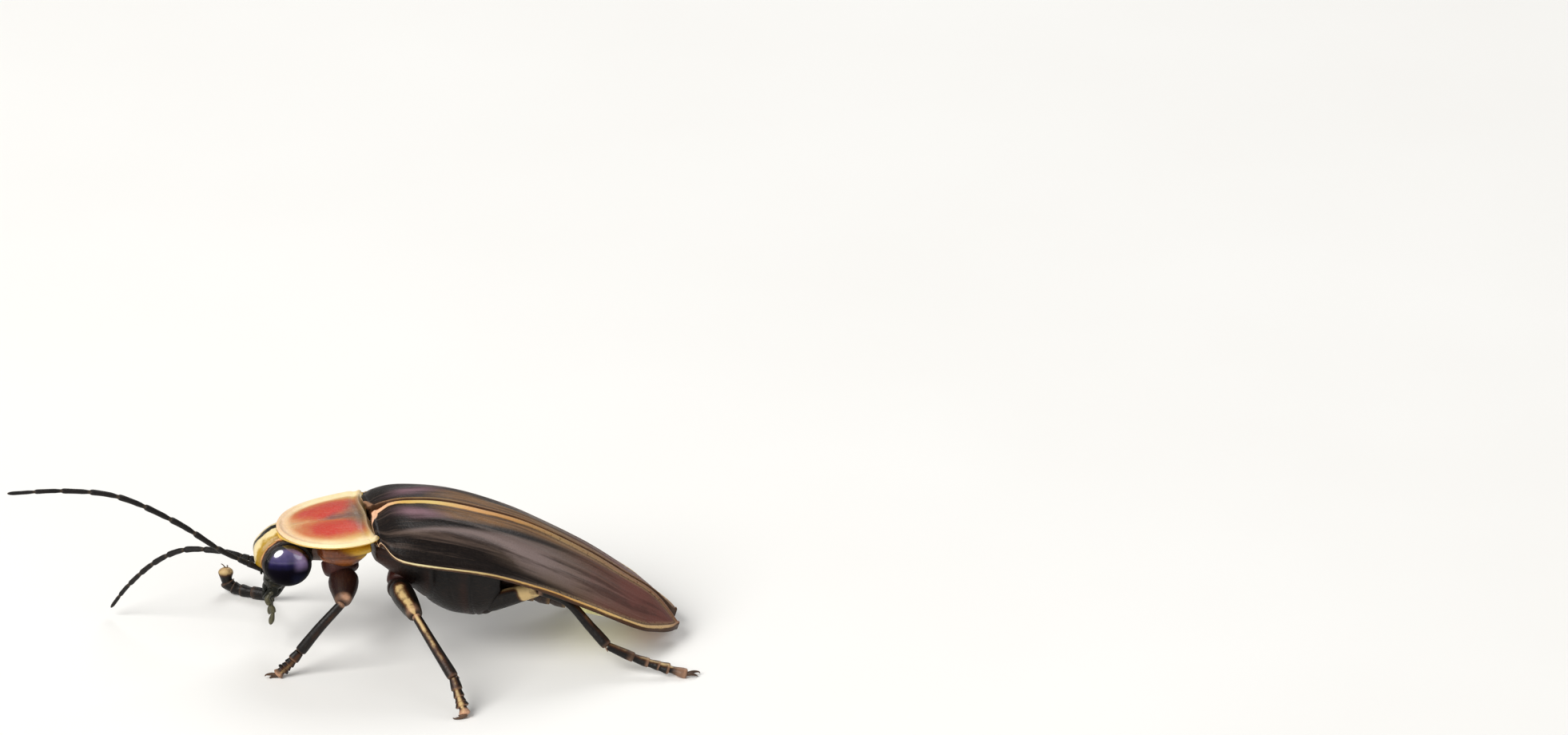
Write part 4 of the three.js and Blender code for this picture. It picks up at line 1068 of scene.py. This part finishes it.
def eyeSkin(side):
    # Ellipsoid rows from the pole that faces outward to the one inside the head; its map is an even-area disc
    pole = np.linspace(0.004, math.pi - 0.004, eye["rows"])[:, None]
    a = around(eye["facets"])[None]
    right, up = np.sin(pole) * np.cos(a), np.sin(pole) * np.sin(a)
    y = side * (eye["y"] + eye["depth"] * np.cos(pole)) + 0 * a
    made = skin(np.stack([eye["x"] + eye["radius"] * right, y, eye["z"] + eye["radius"] * up], -1),
                {"height": up, "back": right, "pole": np.sin(pole)})
    r = math.sqrt(2) * np.sin(pole / 2) * eye["radius"] * 1.15
    disc = np.stack([r * np.cos(a), r * np.sin(a)], -1).reshape(-1, 2)
    flat = np.concatenate([disc, np.zeros((2, 2))])
    made["quadMap"], made["triMap"] = flat[made["quads"]], flat[made["tris"]]
    return made


def eyeLook():
    # Compound eye: six-sided lenses as a fine bump, a painted violet sheen above, a painted lilac reflection
    # toward the rear, blue-black below, glassy on its upper half
    look, tree, shader = newLook("eyeLens", Coat_Roughness=0.13, Coat_IOR=2.3)

    def vector(operation, values):
        return put(tree, "ShaderNodeVectorMath", values, operation=operation)

    spot = vector("SCALE", {0: lieOf(tree), "Scale": 1 / eye["lens"]}).outputs[0]
    half = (0.5, math.sqrt(3) / 2, 0.5)
    nearest = []
    for offset in ((0, 0, 0), half):
        moved = vector("ADD", {0: spot, 1: offset}).outputs[0]
        cell = vector("WRAP", {0: moved, 1: half, 2: tuple(-h for h in half)}).outputs[0]
        flat = vector("MULTIPLY", {0: cell, 1: (1, 1, 0)}).outputs[0]
        nearest.append(vector("LENGTH", {0: flat}).outputs["Value"])
    lens = calc(tree, "MINIMUM", *nearest)
    dome = calc(tree, "SUBTRACT", 1.0, calc(tree, "POWER", times(tree, lens, 1.7), 2.0))
    height, back = mark(tree, "height"), mark(tree, "back")
    cloud = noise(tree, placeOf(tree), 1.3, 2.0)
    # painted sheen: the colour grows violet toward the top of the eye
    sheenLevel = plus(tree, height, times(tree, calc(tree, "SUBTRACT", cloud, 0.5), 0.9))
    # painted reflection: a lilac patch toward the rear and top of the eye
    lilacReflection = times(tree, spread(tree, back, 0.15, 0.6), spread(tree, height, -0.25, 0.3))
    blue = times(tree, spread(tree, back, 0.0, 0.4), spread(tree, height, -0.1, -0.5))
    colour = ramp(tree, spread(tree, sheenLevel, -0.9, 0.95), {0: "050307", 0.38: "080510", 0.62: "141034",
                                                          0.84: "3c3168", 1: "5d4f84"})
    colour = layered(
        tree, colour,
        (times(tree, lilacReflection, 0.75), "9a86b4"),
        (times(tree, blue, 0.5), "1e2038"),
        (spread(tree, mark(tree, "pole"), 0.82, 0.93), "050306"),  # dark where the eye meets its rim
        (spread(tree, lens, 0.36, 0.56, 0.0, 0.3), "07050a"))
    tree.links.new(colour, shader["Base Color"])
    tree.links.new(spread(tree, lens, 0.1, 0.5, 0.3, 0.5), shader["Roughness"])
    tree.links.new(spread(tree, height, 0.2, 0.5), shader["Coat Weight"])
    tree.links.new(spread(tree, height, -0.2, 0.35, 0.02, 0.1), shader["Specular IOR Level"])
    relief(tree, shader, (dome, 0.0025))
    return look


mouthLook = warmLook("mouthShell", "090a06", "181a12", "040403", 16.0, 0.4, 0.15)
jointLook = warmLook("jointSkin", "4a3226", "5d3f2c", "22140e", 18.0, 0.4)
socketX, socketY, socketZ = head["socket"]
sockets = [ringRidge((socketX, side * socketY, socketZ), (-1, 0, -0.05), *head["socketRing"])
           for side in sides.values()]
neck = limbPart(head["neck"], [[0, 0.6], [0.5, 0.62], [1, 0.7]], 40, 30, 0.85, (0.1, 0.1), material=2)
headParts = [headSkin(), *sockets, neck, *mouthSkins()]
makePiece("headCapsule", headParts, [faceLook(), mouthLook, jointLook], "head")
lensLook = eyeLook()
rimLook = warmLook("eyeRim", "0a0607", "140d0e", "040203", 16.0, 0.4, 0.2)
for word, side in sides.items():
    rimRing = ringRidge((eye["x"], side * (eye["y"] - 0.02), eye["z"]), (0, side, 0), eye["radius"] + 0.005,
                        eye["rim"], 120, 14)
    makePiece("eye" + word.title(), [eyeSkin(side), rimRing], [lensLook, rimLook], "eye_" + word)


# Feelers and palps

feeler = {
    "left": [(-5.22, -0.36, 3.39), (-5.94, -0.46, 3.82), (-6.75, -0.66, 4.38), (-8.43, -0.99, 5.76),
             (-10.6, -1.26, 7.02), (-12.57, -1.5, 7.44), (-14.72, -1.9, 7.6)],
    "right": [(-5.22, 0.36, 3.39), (-6.52, 0.72, 3.66), (-8.0, 1.38, 3.52), (-9.1, 2.04, 2.76),
              (-10.15, 2.78, 1.46), (-10.8, 3.25, 0.36)],
    "joints": (0, 0.062, 0.098, 0.19, 0.295, 0.4, 0.505, 0.608, 0.71, 0.81, 0.905, 1.0),
    "radius": along([[0, 0.11], [0.06, 0.125], [0.1, 0.112], [0.4, 0.118], [0.7, 0.105], [1, 0.07]]),
    "waist": 0.74, "waistEnd": (0.12, 0.12, 0.3),  # share of the full radius, and where each waist ends
    "swell": 0.13, "rows": 26, "facets": 18,
}
palp = {
    "outer": [(-4.8, 0.4, 2.52), (-5.04, 0.46, 2.2), (-4.84, 0.48, 1.74), (-4.94, 0.46, 1.14)],
    "outerJoints": (0, 0.14, 0.42, 0.66, 1.0), "outerRadii": (0.1, 0.115, 0.12, 0.15),
    "inner": [(-4.78, 0.12, 2.3), (-4.9, 0.15, 2.08), (-4.86, 0.16, 1.8), (-4.92, 0.15, 1.56)],
    "innerJoints": (0, 0.3, 0.6, 1.0), "innerRadii": (0.06, 0.065, 0.085),
    "waist": 0.6, "rows": 26, "facets": 18,
}


def feelerSkins(points):
    # Eleven joints: each starts at a narrow waist, widens to its end and rounds off into the next one's waist
    path = pathThrough(points, 900, 0.0)
    run = runOf(path) / runOf(path)[-1]
    t = crowded(feeler["rows"], 0.9)
    joints = list(zip(feeler["joints"][:-1], feeler["joints"][1:]))
    parts = []
    for i, (a, b) in enumerate(joints):
        isLast = i == len(joints) - 1
        share = lerp(a - (0.004 if i else 0), b + (0 if isLast else 0.002), t)  # a little into its neighbours
        line = pointsAt(path, run, share)
        grow = lerp(feeler["waist"], 1.0, ease(t, 0.0, feeler["waistEnd"][min(i, 2)]))
        grow = grow * (1 + feeler["swell"] * ease(t, 0.45, 0.9))
        radius = feeler["radius"](share) * grow * drawnIn(runOf(line), 0.03, 0.3 if isLast else 0.16)
        rings = tube(line, radius * 1.08, radius * 0.9, feeler["facets"])
        parts.append(skin(rings, {"waist": (1 - ease(t, 0.02, 0.14) + ease(t, 0.93, 0.99))[:, None]}))
    return parts


def palpSkins(side, which):
    # Short feeler at the mouth: three or four joints, the last one an axe-shaped club
    line = pathThrough([(x, side * y, z) for x, y, z in palp[which]], 300, 0.0)
    run = runOf(line) / runOf(line)[-1]
    joints, radii = palp[which + "Joints"], palp[which + "Radii"]
    parts = []
    for i, (a, b) in enumerate(zip(joints[:-1], joints[1:])):
        isLast = i == len(radii) - 1
        share = lerp(max(a - 0.015, 0), b, crowded(palp["rows"], 0.9))
        centre = pointsAt(line, run, share)
        t = (share - a) / (b - a)
        grow = lerp(palp["waist"], 1.0, ease(t, 0, 0.6)) * (1 - 0.45 * ease(t, 0.55, 1.1) if isLast else 1)
        radius = radii[i] * grow * drawnIn(runOf(centre), 0.03, 0.12 if isLast else 0.05)
        flat = 0.75 if isLast else 0.95
        parts.append(skin(tube(centre, radius, radius * flat, palp["facets"], (-1, 0, 0.3))))
    return parts


def feelerLook():
    # Feelers: dull near-black, paler at each waist, with fine lying hair
    look, tree, shader = newLook("feelerShell", Specular_IOR_Level=0.25)
    grain = useGroup(tree, cuticle, Vector=placeOf(tree), Grain=18.0, Cloud=1.2)
    down = useGroup(tree, lyingDown, Vector=lieOf(tree), Scale=4.0)
    colour = layered(
        tree, tint(tree, grain["Shade"], "0a0807", "171210"),
        (times(tree, mark(tree, "waist"), 0.35), "6d5a45"),
        (times(tree, down["Streaks"], 0.1), "6a5c4a"))
    finishLook(tree, shader, colour, (0.42, 0.62), (grain, 0.008), (down, 0.012))
    return look


antennaLook = feelerLook()
for word in sides:
    makePiece("feeler" + word.title(), feelerSkins(feeler[word]), [antennaLook], "antenna_" + word)
palpLook = warmLook("palpShell", "14130d", "58543c", "080806", 16.0, 0.34, 0.3)
for word, side in sides.items():
    palps = palpSkins(side, "outer") + palpSkins(side, "inner")
    makePiece("palp" + word.title(), palps, [palpLook], "palp_" + word)


# The legs

leg = {
    "coxa": [[0, 0.92], [0.4, 0.96], [0.8, 0.88], [1, 0.74]],  # of the coxa's radius
    "hipRing": [[0, 0.8], [0.5, 1.02], [1, 0.8]],  # of the thigh's radius, as the next row
    "femur": [[0, 0.86], [0.12, 0.98], [0.35, 1.0], [0.65, 0.88], [0.9, 0.7], [1, 0.62]],
    "thighBow": 0.05,
    "tibia": [[0, 0.16], [0.08, 0.175], [0.3, 0.185], [0.7, 0.205], [0.93, 0.22], [1, 0.2]],
    "tarsus": (0, 0.34, 0.53, 0.67, 0.78, 1.0),
    "tarsusRadii": (0.2, 0.195, 0.195, 0.21, 0.17),
    "claw": 0.075, "clawSpread": (0.08, 0.12),
    "clawFloor": 0.04, "floor": 0.002,  # lowest points over the ground
    "spur": 0.2, "spurRadii": [[0, 0.035], [0.6, 0.024], [1, 0.008]],
    "rows": {"thigh": 44, "shin": 60, "foot": 24}, "facets": {"thigh": 26, "shin": 20, "foot": 18},
    # each leg: radii, then shares of its pale and dark marks and of its painted highlight (streak), then its
    # places from the body to the claws
    "joints": {
        "front_leg_left": {
            "coxa": 0.74, "thigh": 0.5, "taper": 0.36, "dark": 0.4, "streak": 0.0, "knob": 0.8,
            "root": (-2.36, -0.62, 3.95), "hip": (-2.2, -1.05, 3.3), "knee": (-2.3, -2.5, 2.9),
            "shin": [(-3.2, -2.62, 1.94)], "ankle": (-3.96, -2.64, 0.98),
            "foot": [(-4.38, -2.7, 0.52)], "toe": (-4.84, -2.77, 0.12), "claw": (-5.2, -2.79, 0.07)},
        "front_leg_right": {
            "coxa": 0.7, "thigh": 0.34, "swell": 1.4, "footTip": 0.0, "club": 0.7, "dark": 0.7, "streak": 0.5,
            "knob": 0.4,
            "root": (-2.46, 0.62, 4.0), "hip": (-2.4, 1.0, 3.5), "knee": (-3.36, 3.0, 2.55),
            "shin": [(-4.05, 3.55, 1.36)], "ankle": (-4.62, 4.02, 0.32),
            "foot": [(-5.1, 4.3, 0.22), (-5.96, 4.79, 0.24), (-6.3, 4.94, 0.46)],
            "toe": (-6.37, 4.99, 1.06), "claw": (-6.4, 5.02, 1.16)},
        "mid_leg_left": {
            "coxa": 0.56, "thigh": 0.44, "streak": 1.0, "knob": 0.35,
            "root": (0.1, -0.6, 3.3), "hip": (-0.16, -1.35, 2.94), "knee": (0.34, -3.6, 2.8),
            "shin": [(0.98, -4.76, 2.0)], "ankle": (1.62, -5.85, 1.2), "foot": [(1.8, -6.36, 0.6)],
            "toe": (1.98, -6.86, 0.12), "claw": (1.62, -6.92, 0.07)},
        "mid_leg_right": {
            "coxa": 0.56, "thigh": 0.44, "streak": 0.9, "knob": 0.35,
            "root": (0.1, 0.6, 3.3), "hip": (-0.1, 1.35, 2.94), "knee": (0.3, 3.6, 2.85),
            "shin": [(0.95, 4.8, 2.05)], "ankle": (1.5, 5.8, 1.2), "foot": [(1.62, 6.28, 0.6)],
            "toe": (1.72, 6.76, 0.12), "claw": (1.4, 6.9, 0.07)},
        "hind_leg_left": {
            "coxa": 0.5, "thigh": 0.34, "streak": 0.55, "gold": 0.9, "knob": 0.1,
            "root": (2.95, -0.62, 2.3), "hip": (2.98, -1.15, 1.94), "knee": (5.0, -2.42, 3.08),
            "shin": [(6.08, -2.62, 2.66), (6.96, -2.98, 1.72)], "ankle": (7.56, -3.36, 1.1),
            "foot": [(8.72, -3.6, 0.6), (9.57, -3.8, 0.36)], "toe": (10.5, -4.02, 0.12),
            "claw": (10.94, -3.98, 0.1)},
        "hind_leg_right": {
            "coxa": 0.5, "thigh": 0.34, "streak": 0.55, "gold": 0.9, "knob": 0.1,
            "root": (2.95, 0.62, 2.3), "hip": (2.98, 1.15, 1.94), "knee": (5.05, 2.4, 2.95),
            "shin": [(5.95, 2.66, 2.6), (6.65, 3.0, 1.74)], "ankle": (7.05, 3.3, 1.1),
            "foot": [(7.7, 3.6, 0.6), (8.25, 3.82, 0.36)], "toe": (8.85, 4.05, 0.12),
            "claw": (9.26, 4.1, 0.09)},
    },
    # what a leg has where its own row above doesn't say
    "plain": {"taper": 0.0, "dark": 1.0, "gold": 0.0, "swell": 1.0, "footTip": 0.7, "club": 0.0},
}


def topLight(facets, narrow):
    # How far a facet looks up: sine of its angle, to a power that narrows it; it places the painted
    # highlights on the legs
    return np.clip(np.sin(around(facets)), 0, 1)[None] ** narrow


def scaled(table, factor):
    # A table of [share, radius] with its radii multiplied by a number or by a function of the share
    return [[share, radius * (factor(share) if callable(factor) else factor)] for share, radius in table]


def hipAndThigh(joint, at, lean):
    # Hip cone, hip ring and a slightly bowed thigh, which tapers by its own taper from end to end
    rows, facets = leg["rows"]["thigh"], leg["facets"]["thigh"]
    cone = [at["root"], lerp(at["root"], at["hip"], 0.5), at["hip"]]
    ring = [lerp(at["root"], at["hip"], 0.85), at["hip"], lerp(at["hip"], at["knee"], 0.16)]
    thigh = [lerp(at["hip"], at["knee"], t) + lean * leg["thighBow"] * math.sin(math.pi * t)
             for t in (0.06, 0.35, 0.68, 1.04)]
    steps = crowded(rows, 0.8)[:, None]
    # painted highlight along the thigh's upper side, as strong as the leg's streak share, then a gold band
    # near the knee
    light = joint["streak"] * topLight(facets, 7.0) * ease(steps, 0.08, 0.35)
    light = light + joint["gold"] * ease(steps, 0.62, 0.76) * (1 - ease(steps, 0.96, 1))
    knee = ease(steps, 0.78, 0.92) * (1 - 0.9 * ease(steps, 0.95, 1))
    # pale knee, brighter on its upper facets: partly its own colour, partly a painted highlight
    pale = joint["knob"] * knee * (0.2 + 0.8 * topLight(facets, 2.0))
    coneRadii, ringRadii = scaled(leg["coxa"], joint["coxa"]), scaled(leg["hipRing"], joint["thigh"])
    thighRadii = scaled(leg["femur"], lambda share: joint["thigh"] * (1 + joint["taper"] * (0.5 - share)))
    return [
        limbPart(cone, coneRadii, 32, 34, 0.9, (0.1, 0.25), lean, marks={"part": 0.0}),
        limbPart(ring, ringRadii, 24, 24, 1.0, (0.1, 0.1), lean, marks={"part": 0.5}),
        limbPart(thigh, thighRadii, facets, rows, 1.05, (0.1, 0.16), lean,
                 marks={"part": joint["dark"], "light": light, "pale": pale})]


def shinAndSpurs(joint, at, lean, plane):
    # Shin, with a painted highlight along its top and pale at both ends, with a pair of small spurs at its
    # lower end
    rows, facets = leg["rows"]["shin"], leg["facets"]["shin"]
    path = [at["knee"]] + [np.array(p, float) for p in joint["shin"]] + [at["ankle"]]
    fade = 1 - 0.5 * ease(crowded(rows, 0.8), 0.4, 0.9)[:, None]
    # painted highlight along the shin's top
    light = (0.25 + 0.5 * joint["streak"]) * topLight(facets, 6.0) * fade
    parts = [limbPart(path, leg["tibia"], facets, rows, 0.9, (0.1, 0.08), lean,
                      marks={"part": 2.0, "light": light,
                             "pale": lambda s: 0.5 * (1 - ease(s, 0.02, 0.08)) + 0.2 * ease(s, 0.95, 1)})]
    direction = unit(path[-1] - path[-2])
    for turn in (-1, 1):
        root = at["ankle"] - direction * 0.08 + plane * turn * 0.12
        tip = root + direction * leg["spur"] + plane * turn * 0.06 - lean * 0.05
        spur = [root, lerp(root, tip, 0.5), tip]
        parts.append(limbPart(spur, leg["spurRadii"], 8, 10, 1.0, (0.02, 0.02), lean,
                              marks={"part": 5.0, "pale": 0.3}))
    return parts


def footSkins(joint, at, lean):
    # Five foot joints: the fourth lobed, the last swelling, blunt and pale on a foot with a club; a painted
    # highlight runs along the tops of all of them
    rows, facets = leg["rows"]["foot"], leg["facets"]["foot"]
    line = pathThrough([at["ankle"]] + [np.array(p, float) for p in joint["foot"]] + [at["toe"]], 500, 0.0)
    run = runOf(line) / runOf(line)[-1]
    hasClub = joint["club"] > 0
    parts = []
    for i, (a, b) in enumerate(zip(leg["tarsus"][:-1], leg["tarsus"][1:])):
        isLast = i == 4
        share = lerp(max(a - 0.02, 0), min(b + 0.01, 1), crowded(rows, 0.9))
        centre = pointsAt(line, run, share)
        t = np.clip((share - a) / (b - a), 0, 1)
        lobed = 1.3 if i == 3 and not hasClub else 1.0 if isLast else 1.1
        grow = lerp(0.9, 1.3, ease(t, 0.1, 0.8)) if isLast else lerp(0.82, 1.0, ease(t, 0.0, 0.8))
        blunt = 0.26 if isLast and hasClub else 0.09
        radius = leg["tarsusRadii"][i] * joint["swell"] * grow * drawnIn(runOf(centre), 0.03, blunt)
        pale = ease(t, 0.7, 0.95) * (0.25 + 0.08 * i) * (0.3 if hasClub else 1.0)
        pale = pale + joint["footTip"] * isLast * ease(t, 0.1, 0.6)
        # painted highlight along the top of each joint, then the pale club
        light = (0.35 + 0.2 * joint["streak"] + 0.06 * i) * topLight(facets, 5.0)
        light = light + joint["club"] * isLast * ease(t, 0.2, 0.85)[:, None]
        rings = tube(centre, radius * lobed, radius * 0.85, facets, lean)
        parts.append(skin(rings, {"part": 3.0, "pale": pale[:, None], "light": light}))
    return parts


def clawSkins(at, lean, plane):
    # Two claws side by side: out of the toe, apart, and hooked down at their points
    ahead = unit(at["claw"] - at["toe"])
    fall = unit(np.cross(plane, ahead))
    fall = fall if fall[2] < 0 else -fall
    reach = np.linalg.norm(at["claw"] - at["toe"])
    stout = leg["claw"] * min(1, reach / 0.3)  # a short claw is thinner too
    radii = [[0, stout], [0.5, stout * 0.8], [1, 0.015]]
    near, wide = (plane * apart for apart in leg["clawSpread"])
    parts = []
    for turn in (-1, 1):
        points = [at["toe"] - ahead * 0.06, at["toe"] + ahead * reach * 0.4 + near * turn - fall * 0.05,
                  at["toe"] + ahead * reach * 0.85 + wide * turn - fall * 0.02,
                  at["claw"] + wide * turn + fall * 0.06]
        points = [np.array([p[0], p[1], max(p[2], leg["clawFloor"])]) for p in points]
        parts.append(limbPart(points, radii, 10, 22, 1.0, (0.03, 0.02), lean,
                              marks={"part": 4.0, "pale": 0.2}))
    return parts


def legSkins(joint):
    # Hip, thigh, shin, foot and claws, end to end; lean is square to the leg in the plane that it bends in
    joint = {**leg["plain"], **joint}
    at = {key: np.array(joint[key], float) for key in ("root", "hip", "knee", "ankle", "toe", "claw")}
    plane = unit(np.cross(at["knee"] - at["hip"], at["ankle"] - at["knee"]))
    upward = unit(np.cross(at["ankle"] - at["hip"], plane))
    lean = upward if upward[2] > 0 else -upward
    parts = hipAndThigh(joint, at, lean) + shinAndSpurs(joint, at, lean, plane)
    parts = parts + footSkins(joint, at, lean) + clawSkins(at, lean, plane)
    for part in parts:
        part["points"][:, 2] = np.maximum(part["points"][:, 2], leg["floor"])
    return parts


def legLook():
    # Legs: rusty hips, near-black thighs and shins with a painted straw-coloured highlight along the top,
    # pale knees
    look, tree, shader = newLook("legShell", Specular_IOR_Level=0.24, Coat_Weight=0.06, Coat_Roughness=0.25)
    grain = useGroup(tree, cuticle, Vector=placeOf(tree), Grain=15.0, Cloud=1.6)
    down = useGroup(tree, lyingDown, Vector=lieOf(tree), Scale=3.4)
    part = calc(tree, "DIVIDE", mark(tree, "part"), 5.0)
    # the painted highlight along the top, with the gold and club bands in the same mark
    light = times(tree, mark(tree, "light"), spread(tree, grain["Shade"], 0.0, 0.8, 0.55, 1.0))
    broken = spread(tree, grain["Shade"], 0.1, 0.7, 0.45, 1.0)
    base = ramp(tree, part, {0: "38110c", 0.1: "1c0b08", 0.2: "0d0805", 0.4: "0a0605", 0.6: "0a0605",
                             0.8: "1a110b", 1: "2a1a10"})  # hip, ring, thigh, shin, foot, claws, spurs
    base = layered(
        tree, base,
        (times(tree, grain["Shade"], 0.4), "070404"),
        (spread(tree, light, 0.06, 0.4, 0.0, 0.8), "4e2c14"),
        (spread(tree, light, 0.3, 0.75, 0.0, 0.95), "cfb27c"),
        (times(tree, mark(tree, "pale"), broken), "cf9f80"),
        (times(tree, down["Streaks"], 0.08), "8c7050"))
    finishLook(tree, shader, base, (0.35, 0.55), (grain, 0.01), (down, 0.008))
    return look


limbLook = legLook()
for name, joint in leg["joints"].items():
    first, middle, last = name.split("_")
    makePiece(first + middle.title() + last.title(), legSkins(joint), [limbLook], name)


# The studio

studio = {
    "yaw": 5.0, "pitch": 24.0, "lens": 300.0, "sensor": 36.0, "frameWidth": 58.86,
    "aimRight": 14.43, "aimUp": 10.35, "focus": (1.8, -0.5, 3.6), "clip": (0.01, 20.0),
    "floor": 3.0, "floorRoughness": 0.85,
    "world": (1, 0.99, 0.98, 1), "worldStrength": 0.26, "lampTarget": (0.0, 0.0, 0.003),
    # lamps: place in metres, size, power, colour
    "lamps": {"keyLight": ((-0.25, -0.2, 0.27), 0.3, 1.9, (1, 0.985, 0.96)),
              "fillLight": ((0.3, -0.3, 0.2), 0.3, 0.25, (0.95, 0.97, 1)),
              "backLight": ((0.12, 0.3, 0.3), 0.26, 0.6, (1, 1, 1))},
}


def makeCamera():
    # Long lens, aimed so that one millimetre of the animal is as wide in the frame as in the picture
    yaw, pitch = math.radians(studio["yaw"]), math.radians(studio["pitch"])
    right = Vector((math.cos(yaw), -math.sin(yaw), 0))
    ahead = Vector((math.sin(yaw) * math.cos(pitch), math.cos(yaw) * math.cos(pitch), -math.sin(pitch)))
    up = right.cross(ahead)
    distance = studio["frameWidth"] * studio["lens"] / studio["sensor"]
    middle = Vector(toPart) + right * studio["aimRight"] + up * studio["aimUp"]
    depth = (Vector(studio["focus"]) - middle).dot(ahead)
    camera = addObject("pictureCamera", bpy.data.cameras.new("pictureCamera"))
    camera.data.lens, camera.data.sensor_width = studio["lens"], studio["sensor"]
    camera.data.clip_start, camera.data.clip_end = studio["clip"]
    place = (middle + ahead * (depth - distance)) * mm
    camera.matrix_world = Matrix.Translation(place) @ Matrix((right, up, -ahead)).transposed().to_4x4()
    bpy.context.scene.camera = camera


def makeFloor():
    # A wide plain sheet at the height of the feet, a little uneven in tone
    half = studio["floor"] / 2
    corners = [(-half, -half, 0), (half, -half, 0), (half, half, 0), (-half, half, 0)]
    mesh = bpy.data.meshes.new("studioFloor")
    mesh.from_pydata(corners, [], [(0, 1, 2, 3)])
    look, tree, shader = newLook("floorPaper", Specular_IOR_Level=0.15, Roughness=studio["floorRoughness"])
    tone = noise(tree, placeOf(tree), 0.05, 3.0)
    tree.links.new(tint(tree, tone, "f4f3f0", "fafaf8"), shader["Base Color"])
    mesh.materials.append(look)
    addObject("studioFloor", mesh)


def makeLight():
    # A pale sky and three round soft lamps, all turned to the animal
    world = bpy.data.worlds.new("studioWorld")
    bpy.context.scene.world = world
    world.use_nodes = True
    sky = world.node_tree.nodes["Background"].inputs
    sky["Color"].default_value, sky["Strength"].default_value = studio["world"], studio["worldStrength"]
    for name, (place, size, power, colour) in studio["lamps"].items():
        lamp = bpy.data.lights.new(name, "AREA")
        lamp.shape, lamp.size, lamp.energy, lamp.color = "DISK", size, power, colour
        made = addObject(name, lamp)
        made.location = place
        made.rotation_mode = "QUATERNION"
        made.rotation_quaternion = (Vector(studio["lampTarget"]) - Vector(place)).to_track_quat("-Z", "Y")


makeCamera()
makeFloor()
makeLight()
bpy.context.scene.view_settings.view_transform = "Standard"
print("studio ready")
